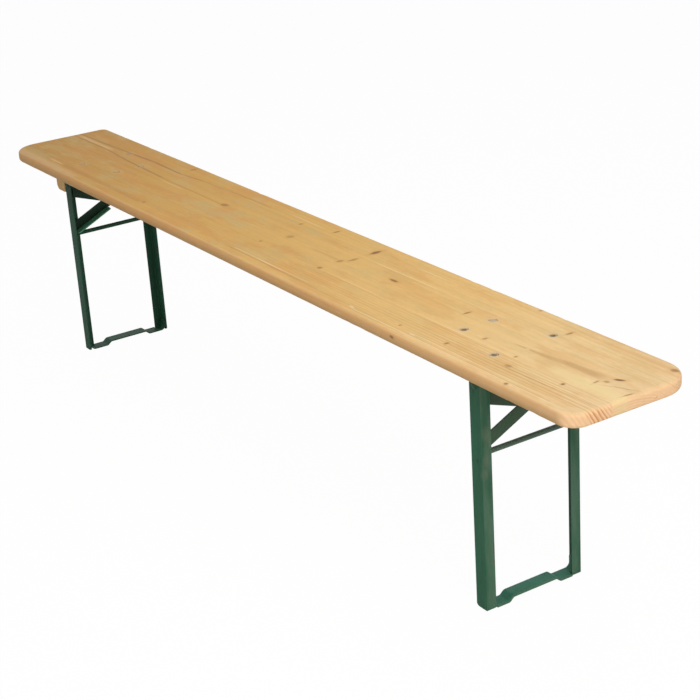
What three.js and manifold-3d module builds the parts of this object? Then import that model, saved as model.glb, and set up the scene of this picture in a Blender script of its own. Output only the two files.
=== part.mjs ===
// Folding bench: a solid timber seat on two folding steel leg frames.
// Millimetres, +Z up, +X along the bench, origin on the ground under the middle of the seat.

import * as THREE from 'three';
import { mergeVertices } from 'three/addons/utils/BufferGeometryUtils.js';
import Module from 'manifold-3d';

const wasm = await Module();
wasm.setup();

// Seat board, glued up from three strips
const seatLength = 2200;
const seatWidth = 270;
const seatHeight = 480;
const seatThickness = 27;
const seatEdgeRadius = 8;
const seatCornerRadius = 36;
const seatWideCornerRadius = 64;
const seatMiddleStripWidth = 102;

// Leg frame of angle steel
const frameSetback = 267;
const frameWidth = 220;
const sideFlangeWidth = 30;
const endFlangeWidth = 22;
const angleThickness = 3;
const angleRootRadius = 2;
const angleToeRadius = 1.2;
const uprightHeelRadius = 8;
const frameTopGap = 2;

// Foot strip between the uprights
const footWidth = 30;
const footOverhang = 3;
const footThickness = 3;
const footRise = 8;
const footPadInner = 62;
const footJoggleLength = 14;
const footBendRadius = 12;
const footUpturn = 26;

// Cross rod and crossed braces
const rodDiameter = 10;
const rodDrop = 146;
const braceWidth = 25;
const braceThickness = 3;
const braceFlangeDepth = 22;
const braceTopInset = 12;
const angleBraceLowDrop = 126;
const angleBraceHighDrop = 35;
const flatBraceLowDrop = 106.5;
const flatBraceHighDrop = 40;

// Hinge between seat and leg
const hingeThickness = 3;
const hingePlateDepth = 26;
const hingeEarGap = 1;
const hingePinRadius = 4;
const hingeHeadRadius = 7;
const hingeBoltSpacing = 130;
const foldAngle = Math.PI / 2;

// Locking stay, its clevis and its guide rail
const stayHeight = 13;
const stayThickness = 5;
const stayHeadroom = 1;
const stayPivotDrop = 63;
const stayPivotRadius = 3.5;
const stayRivetHeadRadius = 5.6;
const clevisThickness = 2.5;
const clevisEyeRadius = 8;
const lockSetback = 162;
const lockDrop = 13;
const guidePinRadius = 4;
const guidePinHeadRadius = 6;
const railThickness = 2.5;
const railRunOut = 12;
const railWall = 4;
const railFlangeWidth = 26;
const railWingDepth = 24;
const railWingWidth = 88;
const railBoltAhead = 20;
const railBoltSpacing = 65;
const railTabWidth = 46;
const railTabDepth = 16;
const railScrewSpacing = 32;
const springThickness = 1;
const springHeight = 10;
const springRootSetback = 53;
const springRootLength = 14;
const springRampLength = 9;
const springBow = 3;
const springReach = 8;

// Timber end batten
const battenDepth = 45;
const battenHeight = 38;
const battenLength = 190;
const battenEnd = 112;
const battenNoseRadius = 14;
const battenEdgeRadius = 3;

// Fasteners
const boltRadius = 3;
const boltHeadRadius = 8;
const boltHeadHeight = 2.4;
const boltHeadSink = 0.3;
const boltTail = 2;
const nutHeight = 5;
const nutAcrossFlats = 10;
const rivetHeadHeight = 2.2;
const screwRadius = 2;
const screwHeadRadius = 4.2;
const screwFaceRadius = 3;
const screwHeadHeight = 2.2;
const screwDepth = 18;
const battenScrewDepth = 14;
const battenScrewInset = 30;
const battenCounterbore = 10;

// Clearances and cutting overrun
const clearance = 0.3;
const slotClearance = 0.4;
const stayRunningGap = 0.8;
const earRunningGap = 0.6;
const overrun = 5;

// Facets of the round forms
const roundFacets = 16;
const cornerFacets = 5;
const edgeFacets = 4;
const slotFacets = 16;

// Places worked out from the sizes
const seatUnderside = seatHeight - seatThickness;
const frameX = seatLength / 2 - frameSetback;
const frameY = frameWidth / 2;
const innerY = frameY - angleThickness;
const innerX = frameX - angleThickness;
const pivotX = frameX - sideFlangeWidth / 2;
const pivotZ = seatUnderside - frameTopGap - sideFlangeWidth / 2;
const rodHeight = seatUnderside - rodDrop;
const flatBraceX = innerX - braceThickness;
const angleBraceX = flatBraceX - braceThickness;
const rodX = innerX - angleRootRadius / 2 - rodDiameter / 2;
const railFaceZ = seatUnderside - railThickness;
const foldedStayZ = railFaceZ - stayHeadroom - stayHeight / 2;
const stayPivotX = pivotX - (foldedStayZ - pivotZ);
const stayPivotZ = pivotZ - stayPivotDrop;
const lockX = frameX - lockSetback;
const lockZ = seatUnderside - lockDrop;
const stayLength = Math.hypot(stayPivotX - lockX, lockZ - stayPivotZ);
const stayRestAngle = Math.atan2(lockZ - stayPivotZ, stayPivotX - lockX);
const railInnerY = stayThickness / 2 + stayRunningGap;
const railOuterY = railInnerY + railThickness;
const clevisInnerY = stayThickness / 2 + stayRunningGap / 2;
const clevisOuterY = clevisInnerY + clevisThickness;
const earOuterY = innerY - earRunningGap;
const earInnerY = earOuterY - hingeThickness;
const hingeEarRadius = sideFlangeWidth / 2 - angleThickness - hingeEarGap;
const battenX = frameX + clearance;

// Materials
const pine = new THREE.MeshStandardMaterial({ color: '#d6b27c', roughness: 0.55, metalness: 0 });
const battenPine = new THREE.MeshStandardMaterial({ color: '#c79a62', roughness: 0.65, metalness: 0 });
const greenPaint = new THREE.MeshStandardMaterial({ color: '#35604b', roughness: 0.45, metalness: 0.1 });
const zinc = new THREE.MeshStandardMaterial({ color: '#a9abab', roughness: 0.4, metalness: 0.9 });
const springSteel = new THREE.MeshStandardMaterial({ color: '#6f7478', roughness: 0.35, metalness: 0.95 });

// Turn a closed three.js geometry into a solid for cutting and joining
function toSolid(geometry) {
  const bare = geometry.clone();
  bare.deleteAttribute('normal');
  bare.deleteAttribute('uv');
  const merged = mergeVertices(bare);
  const vertProperties = new Float32Array(merged.attributes.position.array);
  const triVerts = new Uint32Array(merged.index.array);
  return new wasm.Manifold(new wasm.Mesh({ numProp: 3, vertProperties, triVerts }));
}

// Turn a solid back into a geometry
function toGeometry(solid) {
  const mesh = solid.getMesh();
  const geometry = new THREE.BufferGeometry();
  geometry.setAttribute('position', new THREE.BufferAttribute(new Float32Array(mesh.vertProperties), 3));
  geometry.setIndex(new THREE.BufferAttribute(new Uint32Array(mesh.triVerts), 1));
  geometry.computeVertexNormals();
  return geometry;
}

// Cut a list of tools out of a body
function cut(body, tools) {
  return tools.reduce((rest, tool) => rest.subtract(toSolid(tool)), body);
}

// One named piece of the bench
function piece(name, geometry, material) {
  const mesh = new THREE.Mesh(geometry, material);
  mesh.name = name;
  return mesh;
}

// A box given by its two corners
function boxBetween(low, high) {
  const size = new THREE.Vector3().subVectors(high, low);
  const centre = new THREE.Vector3().addVectors(low, high).multiplyScalar(1 / 2);
  return new THREE.BoxGeometry(size.x, size.y, size.z).translate(centre.x, centre.y, centre.z);
}

// A flat outline given a thickness along Z
function extruded(shape, depth) {
  return new THREE.ExtrudeGeometry(shape, { depth, bevelEnabled: false, curveSegments: cornerFacets });
}

// A flat plate whose outline lies in XZ, between two Y values
function plateXZ(shape, y0, y1) {
  const turn = new THREE.Matrix4().makeBasis(
    new THREE.Vector3(1, 0, 0), new THREE.Vector3(0, 0, 1), new THREE.Vector3(0, -1, 0));
  return extruded(shape, y1 - y0).applyMatrix4(turn).translate(0, y1, 0);
}

// A flat plate whose outline lies in YZ, between two X values
function plateYZ(shape, x0, x1) {
  const turn = new THREE.Matrix4().makeBasis(
    new THREE.Vector3(0, 1, 0), new THREE.Vector3(0, 0, 1), new THREE.Vector3(1, 0, 0));
  return extruded(shape, x1 - x0).applyMatrix4(turn).translate(x0, 0, 0);
}

// A flat plate whose outline lies in XY, between two Z values
function plateXY(shape, z0, z1) {
  return extruded(shape, z1 - z0).translate(0, 0, z0);
}

// A closed outline through corner points, each with its own rounding radius
function roundedOutline(corners) {
  const outline = new THREE.Shape();
  corners.forEach(([x, y, radius], i) => {
    const corner = new THREE.Vector2(x, y);
    const before = new THREE.Vector2(...corners[(i + corners.length - 1) % corners.length].slice(0, 2));
    const after = new THREE.Vector2(...corners[(i + 1) % corners.length].slice(0, 2));
    const arrive = before.sub(corner).normalize();
    const leave = after.sub(corner).normalize();
    const halfAngle = Math.acos(THREE.MathUtils.clamp(arrive.dot(leave), -1, 1)) / 2;
    const setback = radius / Math.tan(halfAngle);
    const start = corner.clone().addScaledVector(arrive, setback);
    const end = corner.clone().addScaledVector(leave, setback);
    if (i === 0) outline.moveTo(start.x, start.y);
    else outline.lineTo(start.x, start.y);
    if (radius === 0) return;
    const inward = arrive.clone().add(leave).normalize();
    const centre = corner.clone().addScaledVector(inward, radius / Math.sin(halfAngle));
    const fromAngle = Math.atan2(start.y - centre.y, start.x - centre.x);
    const toAngle = Math.atan2(end.y - centre.y, end.x - centre.x);
    const sweep = Math.atan2(Math.sin(toAngle - fromAngle), Math.cos(toAngle - fromAngle));
    outline.absarc(centre.x, centre.y, radius, fromAngle, toAngle, sweep < 0);
  });
  outline.closePath();
  return outline;
}

// An outline at one distance all round a path of points
function trackOutline(points, halfWidth) {
  const tangents = points.map((_, i) => {
    const ahead = points[Math.min(i + 1, points.length - 1)];
    const behind = points[Math.max(i - 1, 0)];
    return ahead.clone().sub(behind).normalize();
  });
  const side = (i, sign) => (
    new THREE.Vector2(-tangents[i].y, tangents[i].x).multiplyScalar(sign * halfWidth).add(points[i]));
  const cap = (i, startTurn) => Array.from({ length: cornerFacets * 2 - 1 }, (_, k) => {
    const turn = startTurn - (Math.PI * (k + 1)) / (cornerFacets * 2);
    const heading = tangents[i].angle() + turn;
    return new THREE.Vector2(Math.cos(heading), Math.sin(heading)).multiplyScalar(halfWidth).add(points[i]);
  });
  const last = points.length - 1;
  const clockwise = [
    ...points.map((_, i) => side(i, 1)),
    ...cap(last, Math.PI / 2),
    ...points.map((_, i) => side(last - i, -1)),
    ...cap(0, -Math.PI / 2),
  ];
  return clockwise.reverse();
}

// A round hole in an outline
function roundHole(x, y, radius) {
  const hole = new THREE.Path();
  hole.absarc(x, y, radius, 0, Math.PI * 2, true);
  return hole;
}

// A solid of revolution about an axis along Z, from a profile of radius and height
function turned(profile) {
  const points = profile.map(([radius, height]) => new THREE.Vector2(radius, height));
  return new THREE.LatheGeometry(points, roundFacets).rotateX(Math.PI / 2);
}

// A plain round cutter between two heights
function roundBore(radius, low, high) {
  return turned([[0, low], [radius, low], [radius, high], [0, high]]);
}

// The sides of the frame as seen from outside its own end of the bench
const sides = [
  { name: 'left', sign: -1 },
  { name: 'right', sign: 1 },
];

// Both ends of the bench; the second is the first turned half a turn about the vertical
const ends = [
  { name: 'a', sign: 1 },
  { name: 'b', sign: -1 },
];

// Places of the fasteners that go into the seat, for the end on +X
const hingeBoltX = pivotX;
const railBoltX = lockX + railBoltAhead;
const throughBolts = sides.flatMap(({ name, sign }) => [
  {
    name: `hinge_bolt_${name}`,
    nut: `hinge_nut_${name}`,
    x: hingeBoltX,
    y: (sign * hingeBoltSpacing) / 2,
    seatZ: seatUnderside - hingeThickness,
  },
  {
    name: `rail_bolt_${name}`,
    nut: `rail_nut_${name}`,
    x: railBoltX,
    y: (sign * railBoltSpacing) / 2,
    seatZ: railFaceZ,
  },
]);

// The guide pin's way as the leg folds, worked out from the fold and the stay's steady turn
function pinAt(share) {
  const fold = share * foldAngle;
  const lift = stayRestAngle * (1 - share);
  const armX = stayPivotX - pivotX;
  const armZ = stayPivotZ - pivotZ;
  const kneeX = pivotX + armX * Math.cos(fold) + armZ * Math.sin(fold);
  const kneeZ = pivotZ - armX * Math.sin(fold) + armZ * Math.cos(fold);
  return new THREE.Vector2(kneeX - stayLength * Math.cos(lift), kneeZ + stayLength * Math.sin(lift));
}
const pinWay = Array.from({ length: slotFacets + 1 }, (_, i) => pinAt(i / slotFacets));
const foldedPinX = pinAt(1).x;
const railScrewX = foldedPinX;
const railScrews = sides.map(({ name, sign }) => ({
  name: `rail_screw_${name}`,
  x: railScrewX,
  y: (sign * railScrewSpacing) / 2,
  headZ: railFaceZ,
  depth: screwDepth,
}));
const battenScrews = sides.map(({ name, sign }) => ({
  name: `batten_screw_${name}`,
  x: battenX + battenDepth / 2,
  y: battenEnd - battenLength / 2 + sign * (battenLength / 2 - battenScrewInset),
  headZ: seatUnderside - battenHeight + battenCounterbore,
  depth: battenHeight - battenCounterbore + battenScrewDepth,
}));

// Carriage bolt: domed head let into the seat, plain shank down through the nut
function carriageBolt(seatZ) {
  const top = seatHeight - boltHeadSink;
  const rim = top - boltHeadHeight;
  const tail = seatZ - nutHeight - boltTail;
  const dome = Array.from({ length: edgeFacets + 1 }, (_, i) => {
    const turn = (i / edgeFacets) * (Math.PI / 2);
    return [boltHeadRadius * Math.cos(turn), rim + boltHeadHeight * Math.sin(turn)];
  });
  dome[edgeFacets][0] = 0;
  return turned([[0, tail], [boltRadius, tail], [boltRadius, rim], ...dome]);
}

// The hole that a carriage bolt needs in the seat
function carriageBoltHole(x, y) {
  const floor = seatHeight - boltHeadSink - boltHeadHeight - clearance;
  const radius = boltRadius + clearance;
  const mouth = boltHeadRadius + clearance;
  const low = seatUnderside - overrun;
  const high = seatHeight + overrun;
  const profile = [[0, low], [radius, low], [radius, floor], [mouth, floor], [mouth, high], [0, high]];
  return turned(profile).translate(x, y, 0);
}

// Wood screw with a flat round head below and its point up in the timber
function woodScrew(headZ, depth) {
  const point = headZ + depth;
  const seat = headZ - clearance;
  const face = seat - screwHeadHeight;
  const head = [[0, face], [screwFaceRadius, face], [screwHeadRadius, seat], [screwRadius, seat]];
  return turned([...head, [screwRadius, point - 2 * screwRadius], [0, point]]);
}

// The hole that a wood screw needs in what it goes through
function screwHole(x, y, headZ, depth) {
  return roundBore(screwRadius + clearance, headZ - overrun, headZ + depth + clearance).translate(x, y, 0);
}

// Seat board with rounded edges and corners, drilled and split into its glued strips
function seatBoard() {
  const halfLength = seatLength / 2;
  const halfWidth = seatWidth / 2;
  const outline = roundedOutline([
    [-halfLength, -halfWidth, seatWideCornerRadius],
    [halfLength, -halfWidth, seatCornerRadius],
    [halfLength, halfWidth, seatWideCornerRadius],
    [-halfLength, halfWidth, seatCornerRadius],
  ]);
  const board = new THREE.ExtrudeGeometry(outline, {
    depth: seatThickness - 2 * seatEdgeRadius,
    bevelThickness: seatEdgeRadius,
    bevelSize: seatEdgeRadius,
    bevelOffset: -seatEdgeRadius,
    bevelSegments: edgeFacets,
    curveSegments: cornerFacets,
  }).translate(0, 0, seatUnderside + seatEdgeRadius);
  const tools = ends.flatMap(({ sign }) => [
    ...throughBolts.map(({ x, y }) => carriageBoltHole(sign * x, sign * y)),
    ...[...railScrews, ...battenScrews].map(({ x, y, headZ, depth }) => (
      screwHole(sign * x, sign * y, headZ, depth))),
  ]);
  const drilled = cut(toSolid(board), tools);
  const seam = seatMiddleStripWidth / 2;
  const strips = [
    ['seat_strip_front', -halfWidth - overrun, -seam],
    ['seat_strip_middle', -seam, seam],
    ['seat_strip_rear', seam, halfWidth + overrun],
  ];
  return strips.map(([name, y0, y1]) => {
    const slab = boxBetween(
      new THREE.Vector3(-halfLength - overrun, y0, seatUnderside - overrun),
      new THREE.Vector3(halfLength + overrun, y1, seatHeight + overrun));
    return piece(name, toGeometry(drilled.intersect(toSolid(slab))), pine);
  });
}

// Section of the upright's angle steel, seen from above, heel of the angle outwards
function angleSection(side) {
  const y = (depth) => side * (frameY - depth);
  return roundedOutline([
    [frameX, y(0), angleToeRadius],
    [frameX, y(endFlangeWidth), angleToeRadius],
    [innerX, y(endFlangeWidth), angleToeRadius],
    [innerX, y(angleThickness), angleRootRadius],
    [frameX - sideFlangeWidth, y(angleThickness), angleToeRadius],
    [frameX - sideFlangeWidth, y(0), angleToeRadius],
  ]);
}

// Side view of the upright: round at the hinge, with a rounded heel on the ground
function uprightSideView() {
  const view = new THREE.Shape();
  const back = frameX - sideFlangeWidth;
  view.moveTo(frameX, 0);
  view.lineTo(frameX, pivotZ);
  view.absarc(pivotX, pivotZ, sideFlangeWidth / 2, 0, Math.PI, false);
  view.lineTo(back, uprightHeelRadius);
  const heelX = back + uprightHeelRadius;
  view.absarc(heelX, uprightHeelRadius, uprightHeelRadius, Math.PI, Math.PI * 1.5, false);
  view.closePath();
  view.holes.push(roundHole(pivotX, pivotZ, hingePinRadius + clearance));
  return view;
}

// Upright of the leg frame
function upright(side) {
  const section = toSolid(plateXY(angleSection(side), 0, pivotZ + sideFlangeWidth));
  const view = toSolid(plateXZ(uprightSideView(), -frameY - overrun, frameY + overrun));
  return toGeometry(section.intersect(view));
}

// Half of the foot strip's centre line, from the middle of the bench out to its upturned end
function footHalfLine() {
  const mid = footThickness / 2;
  const endY = innerY - mid;
  const bendCentreY = endY - footBendRadius;
  const line = [
    [0, mid + footRise],
    [footPadInner - footJoggleLength, mid + footRise],
  ];
  for (let i = 1; i <= edgeFacets * 2; i += 1) {
    const share = i / (edgeFacets * 2);
    const ease = (1 + Math.cos(Math.PI * share)) / 2;
    line.push([footPadInner - footJoggleLength * (1 - share), mid + footRise * ease]);
  }
  for (let i = 0; i <= cornerFacets; i += 1) {
    const turn = (i / cornerFacets) * (Math.PI / 2);
    line.push([bendCentreY + footBendRadius * Math.sin(turn), mid + footBendRadius * (1 - Math.cos(turn))]);
  }
  line.push([endY, footUpturn]);
  return line.map(([y, z]) => new THREE.Vector2(y, z));
}

// Foot strip: a flat bar with both ends turned up inside the uprights and its middle pressed up
function footStrip() {
  const half = footHalfLine();
  const line = [...half.slice(1).reverse().map(({ x, y }) => new THREE.Vector2(-x, y)), ...half];
  const heading = line.slice(1).map((point, i) => point.clone().sub(line[i]).normalize());
  const offset = (i, sign) => {
    const before = heading[Math.max(i - 1, 0)];
    const after = heading[Math.min(i, heading.length - 1)];
    const tangent = before.clone().add(after).normalize();
    const reach = (sign * footThickness) / (2 * tangent.dot(after));
    return new THREE.Vector2(line[i].x - tangent.y * reach, line[i].y + tangent.x * reach);
  };
  const outline = new THREE.Shape([
    ...line.map((_, i) => offset(i, -1)),
    ...line.map((_, i) => offset(line.length - 1 - i, 1)),
  ]);
  const outer = frameX + footOverhang;
  const strip = toSolid(plateYZ(outline, outer - footWidth, outer));
  const notchX = innerX - angleRootRadius;
  const notchY = frameY - endFlangeWidth - clearance;
  const notches = sides.map(({ sign }) => boxBetween(
    new THREE.Vector3(notchX, Math.min(sign * notchY, sign * frameY), -overrun),
    new THREE.Vector3(outer + overrun, Math.max(sign * notchY, sign * frameY), footUpturn + overrun)));
  return toGeometry(cut(strip, notches));
}

// Cross rod between the two side flanges
function crossRod() {
  const length = 2 * (innerY - clearance);
  const rod = new THREE.CylinderGeometry(rodDiameter / 2, rodDiameter / 2, length, roundFacets);
  return rod.translate(rodX, 0, rodHeight);
}

// Middle height and slope of both braces
function braceRun(lowDrop, highDrop) {
  const slope = (lowDrop - highDrop) / (2 * (innerY - braceTopInset));
  return { middle: seatUnderside - (lowDrop + highDrop) / 2, slope };
}
const angleRun = braceRun(angleBraceLowDrop, angleBraceHighDrop);
const flatRun = braceRun(flatBraceLowDrop, flatBraceHighDrop);

// Outline of a brace in the frame's plane; side is where its high end is
function braceOutline({ middle, slope }, side, depth, lowInset) {
  const low = lowInset - innerY;
  const high = innerY - braceTopInset;
  const stretch = Math.hypot(1, slope);
  const bottomAt = (run) => middle + slope * run - (braceWidth / 2) * stretch;
  const topAt = (run) => bottomAt(run) + depth * stretch;
  const corners = [[low, bottomAt(low)], [high, bottomAt(high)], [high, topAt(high)], [low, topAt(low)]];
  return new THREE.Shape(corners.map(([run, z]) => new THREE.Vector2(side * run, z)));
}

// The room that the cross rod needs below the low end of the angle brace
function rodRoom() {
  return boxBetween(
    new THREE.Vector3(frameX - sideFlangeWidth, -frameY, 0),
    new THREE.Vector3(frameX, frameY, rodHeight + rodDiameter / 2 + clearance));
}

// Angle steel brace: upright flange in the frame's plane, lower flange pointing under the seat
function angleBrace(side) {
  const web = toSolid(plateYZ(braceOutline(angleRun, side, braceWidth, 0), angleBraceX, flatBraceX));
  const toe = flatBraceX - braceFlangeDepth;
  const flange = toSolid(plateYZ(braceOutline(angleRun, side, braceThickness, 0), toe, flatBraceX));
  const notchHalf = clevisOuterY + clearance + rivetHeadHeight + earRunningGap;
  const notch = boxBetween(
    new THREE.Vector3(toe - overrun, -notchHalf, angleRun.middle - braceWidth),
    new THREE.Vector3(angleBraceX, notchHalf, angleRun.middle + braceWidth));
  return toGeometry(cut(web.add(flange), [notch, rodRoom()]));
}

// Flat steel brace crossing outside the angle one
function flatBrace(side) {
  return plateYZ(braceOutline(flatRun, side, braceWidth, angleRootRadius), flatBraceX, innerX);
}

// Hinge plate: one bent strip across the underside of the seat with an ear at each end
function hingePlate() {
  const x0 = pivotX - hingePlateDepth / 2;
  const x1 = pivotX + hingePlateDepth / 2;
  const under = seatUnderside - hingeThickness;
  const base = roundedOutline([
    [x0, -earOuterY, 0],
    [x1, -earOuterY, 0],
    [x1, earOuterY, 0],
    [x0, earOuterY, 0],
  ]);
  sides.forEach(({ sign }) => {
    base.holes.push(roundHole(hingeBoltX, (sign * hingeBoltSpacing) / 2, boltRadius + clearance));
  });
  const ear = new THREE.Shape();
  ear.moveTo(pivotX + hingeEarRadius, seatUnderside);
  ear.lineTo(pivotX - hingeEarRadius, seatUnderside);
  ear.lineTo(pivotX - hingeEarRadius, pivotZ);
  ear.absarc(pivotX, pivotZ, hingeEarRadius, Math.PI, Math.PI * 2, false);
  ear.closePath();
  ear.holes.push(roundHole(pivotX, pivotZ, hingePinRadius + clearance));
  const ears = sides.map(({ sign }) => plateXZ(ear,
    Math.min(sign * earInnerY, sign * earOuterY), Math.max(sign * earInnerY, sign * earOuterY)));
  const plate = toSolid(plateXY(base, under, seatUnderside));
  return toGeometry(ears.reduce((body, one) => body.add(toSolid(one)), plate));
}

// Rivet along Y with a domed head at both ends
function rivet(y0, y1, pinRadius, headRadius) {
  const dome = (from, direction) => Array.from({ length: edgeFacets }, (_, i) => {
    const turn = (i / edgeFacets) * (Math.PI / 2);
    return [headRadius * Math.cos(turn), from + direction * rivetHeadHeight * Math.sin(turn)];
  });
  const profile = [[0, y0 - rivetHeadHeight], ...dome(y0, -1).reverse(), [pinRadius, y0], [pinRadius, y1],
    ...dome(y1, 1), [0, y1 + rivetHeadHeight]];
  return new THREE.LatheGeometry(profile.map(([radius, y]) => new THREE.Vector2(radius, y)), roundFacets);
}

// Clevis of the stay: two ears bent from one strip, welded on the angle brace at its middle
function stayClevis() {
  const back = angleBraceX - clevisThickness;
  const ear = new THREE.Shape();
  const low = stayPivotZ - clevisEyeRadius;
  const high = stayPivotZ + clevisEyeRadius;
  ear.moveTo(angleBraceX, low);
  ear.lineTo(angleBraceX, high);
  ear.lineTo(stayPivotX, high);
  ear.absarc(stayPivotX, stayPivotZ, clevisEyeRadius, Math.PI / 2, Math.PI * 1.5, false);
  ear.closePath();
  ear.holes.push(roundHole(stayPivotX, stayPivotZ, stayPivotRadius + clearance));
  const web = boxBetween(
    new THREE.Vector3(back, -clevisOuterY, low),
    new THREE.Vector3(angleBraceX, clevisOuterY, high));
  const ears = [plateXZ(ear, -clevisOuterY, -clevisInnerY), plateXZ(ear, clevisInnerY, clevisOuterY)];
  return toGeometry(ears.reduce((body, one) => body.add(toSolid(one)), toSolid(web)));
}

// Locking stay: a flat bar with round ends, an eye at the clevis and one for the guide pin
function stayBar() {
  const knee = new THREE.Vector2(stayPivotX, stayPivotZ);
  const tip = new THREE.Vector2(lockX, lockZ);
  const bar = new THREE.Shape(trackOutline([knee, tip], stayHeight / 2));
  bar.holes.push(roundHole(knee.x, knee.y, stayPivotRadius + clearance));
  bar.holes.push(roundHole(tip.x, tip.y, guidePinRadius + clearance));
  return plateXZ(bar, -stayThickness / 2, stayThickness / 2);
}

// Guide pin through the stay's end: a head outside one rail wall, flush in the slot of the other
function guidePin() {
  const headFace = -railOuterY - clearance;
  const headEnd = headFace - rivetHeadHeight;
  const flushEnd = railOuterY - clearance;
  const head = [[0, headEnd], [guidePinHeadRadius, headEnd], [guidePinHeadRadius, headFace]];
  const shank = [[guidePinRadius, headFace], [guidePinRadius, flushEnd], [0, flushEnd]];
  const profile = [...head, ...shank].map(([radius, y]) => new THREE.Vector2(radius, y));
  const pin = new THREE.LatheGeometry(profile, roundFacets);
  return pin.translate(lockX, 0, lockZ);
}

// Guide rail: a winged base plate with two walls, both slotted along the guide pin's way
function guideRail() {
  const railEnd = railBoltX + railWingDepth / 2;
  const wallStart = foldedPinX - railRunOut;
  const tabX0 = railScrewX - railTabDepth / 2;
  const tabX1 = railScrewX + railTabDepth / 2;
  const wingX0 = railBoltX - railWingDepth / 2;
  const bands = [
    [wallStart, railEnd, railFlangeWidth],
    [tabX0, tabX1, railTabWidth],
    [wingX0, railEnd, railWingWidth],
  ];
  const base = bands
    .map(([x0, x1, width]) => toSolid(boxBetween(
      new THREE.Vector3(x0, -width / 2, railFaceZ), new THREE.Vector3(x1, width / 2, seatUnderside))))
    .reduce((body, band) => body.add(band));
  const slotHalf = guidePinRadius + slotClearance;
  const wallOutline = new THREE.Shape(trackOutline(pinWay, slotHalf + railWall));
  const wallView = toSolid(plateXZ(wallOutline, -railOuterY, railOuterY));
  const wallTop = toSolid(boxBetween(
    new THREE.Vector3(wallStart, -railOuterY, lockZ),
    new THREE.Vector3(lockX + railRunOut, railOuterY, seatUnderside)));
  const gap = boxBetween(
    new THREE.Vector3(wallStart - overrun, -railInnerY, pivotZ - stayPivotDrop),
    new THREE.Vector3(railEnd + overrun, railInnerY, railFaceZ));
  const slotOutline = new THREE.Shape(trackOutline(pinWay, slotHalf));
  const slot = plateXZ(slotOutline, -railOuterY - overrun, railOuterY + overrun);
  const lid = boxBetween(
    new THREE.Vector3(wallStart - overrun, -railWingWidth, seatUnderside),
    new THREE.Vector3(railEnd + overrun, railWingWidth, seatHeight));
  const walls = cut(wallView.add(wallTop), [gap, slot, lid]);
  const holes = [
    ...sides.map(({ sign }) => [railBoltX, (sign * railBoltSpacing) / 2, boltRadius]),
    ...railScrews.map(({ x, y }) => [x, y, screwRadius]),
  ].map(([x, y, radius]) => (
    roundBore(radius + clearance, railFaceZ - overrun, seatUnderside + overrun).translate(x, y, 0)));
  return toGeometry(cut(base.add(walls), holes));
}

// Snap spring: a thin strip on one rail wall whose free end closes over the locked guide pin
function snapSpring() {
  const rootX = lockX - springRootSetback;
  const kneeX = rootX + springRootLength;
  const bowX = kneeX + springRampLength;
  const hookX = lockX + guidePinRadius + springBow;
  const tipX = hookX + springReach;
  const face = railOuterY;
  const bow = face + springBow;
  const line = [[rootX, face], [kneeX, face], [bowX, bow], [hookX, bow], [tipX, face + clearance]];
  const outer = line.map(([x, y]) => [x, y + springThickness]).reverse();
  const outline = new THREE.Shape([...line, ...outer].map(([x, y]) => new THREE.Vector2(x, y)));
  return plateXY(outline, lockZ - springHeight / 2, lockZ + springHeight / 2);
}

// End batten: a timber block under the seat that the end flanges close against
function endBatten() {
  const x0 = battenX;
  const x1 = battenX + battenDepth;
  const low = seatUnderside - battenHeight;
  const section = roundedOutline([
    [x0, low, battenEdgeRadius],
    [x1, low, battenNoseRadius],
    [x1, seatUnderside, 0],
    [x0, seatUnderside, 0],
  ]);
  const block = toSolid(plateXZ(section, battenEnd - battenLength, battenEnd));
  const tools = battenScrews.flatMap(({ x, y, headZ, depth }) => [
    screwHole(x, y, headZ, depth),
    roundBore(screwHeadRadius + clearance, low - overrun, headZ).translate(x, y, 0),
  ]);
  return toGeometry(cut(block, tools));
}

// Hexagon nut below a bolted plate
function hexNut(seatZ) {
  const cornerRadius = nutAcrossFlats / Math.sqrt(3);
  const corners = Array.from({ length: 6 }, (_, i) => (
    new THREE.Vector2(cornerRadius, 0).rotateAround(new THREE.Vector2(), (i * Math.PI) / 3)));
  const outline = new THREE.Shape(corners);
  outline.holes.push(roundHole(0, 0, boltRadius + clearance));
  return plateXY(outline, seatZ - nutHeight, seatZ);
}

// All that is fixed to the seat at one end
function seatFittings(end) {
  const group = new THREE.Group();
  group.add(piece(`hinge_plate_${end}`, hingePlate(), greenPaint));
  group.add(piece(`guide_rail_${end}`, guideRail(), greenPaint));
  group.add(piece(`snap_spring_${end}`, snapSpring(), springSteel));
  group.add(piece(`end_batten_${end}`, endBatten(), battenPine));
  throughBolts.forEach(({ name, nut, x, y, seatZ }) => {
    const bolt = piece(`${name}_${end}`, carriageBolt(seatZ), zinc);
    bolt.position.set(x, y, 0);
    const nutMesh = piece(`${nut}_${end}`, hexNut(seatZ), zinc);
    nutMesh.position.set(x, y, 0);
    group.add(bolt, nutMesh);
  });
  [...railScrews, ...battenScrews].forEach(({ name, x, y, headZ, depth }) => {
    const screw = piece(`${name}_${end}`, woodScrew(headZ, depth), zinc);
    screw.position.set(x, y, 0);
    group.add(screw);
  });
  return group;
}

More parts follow.
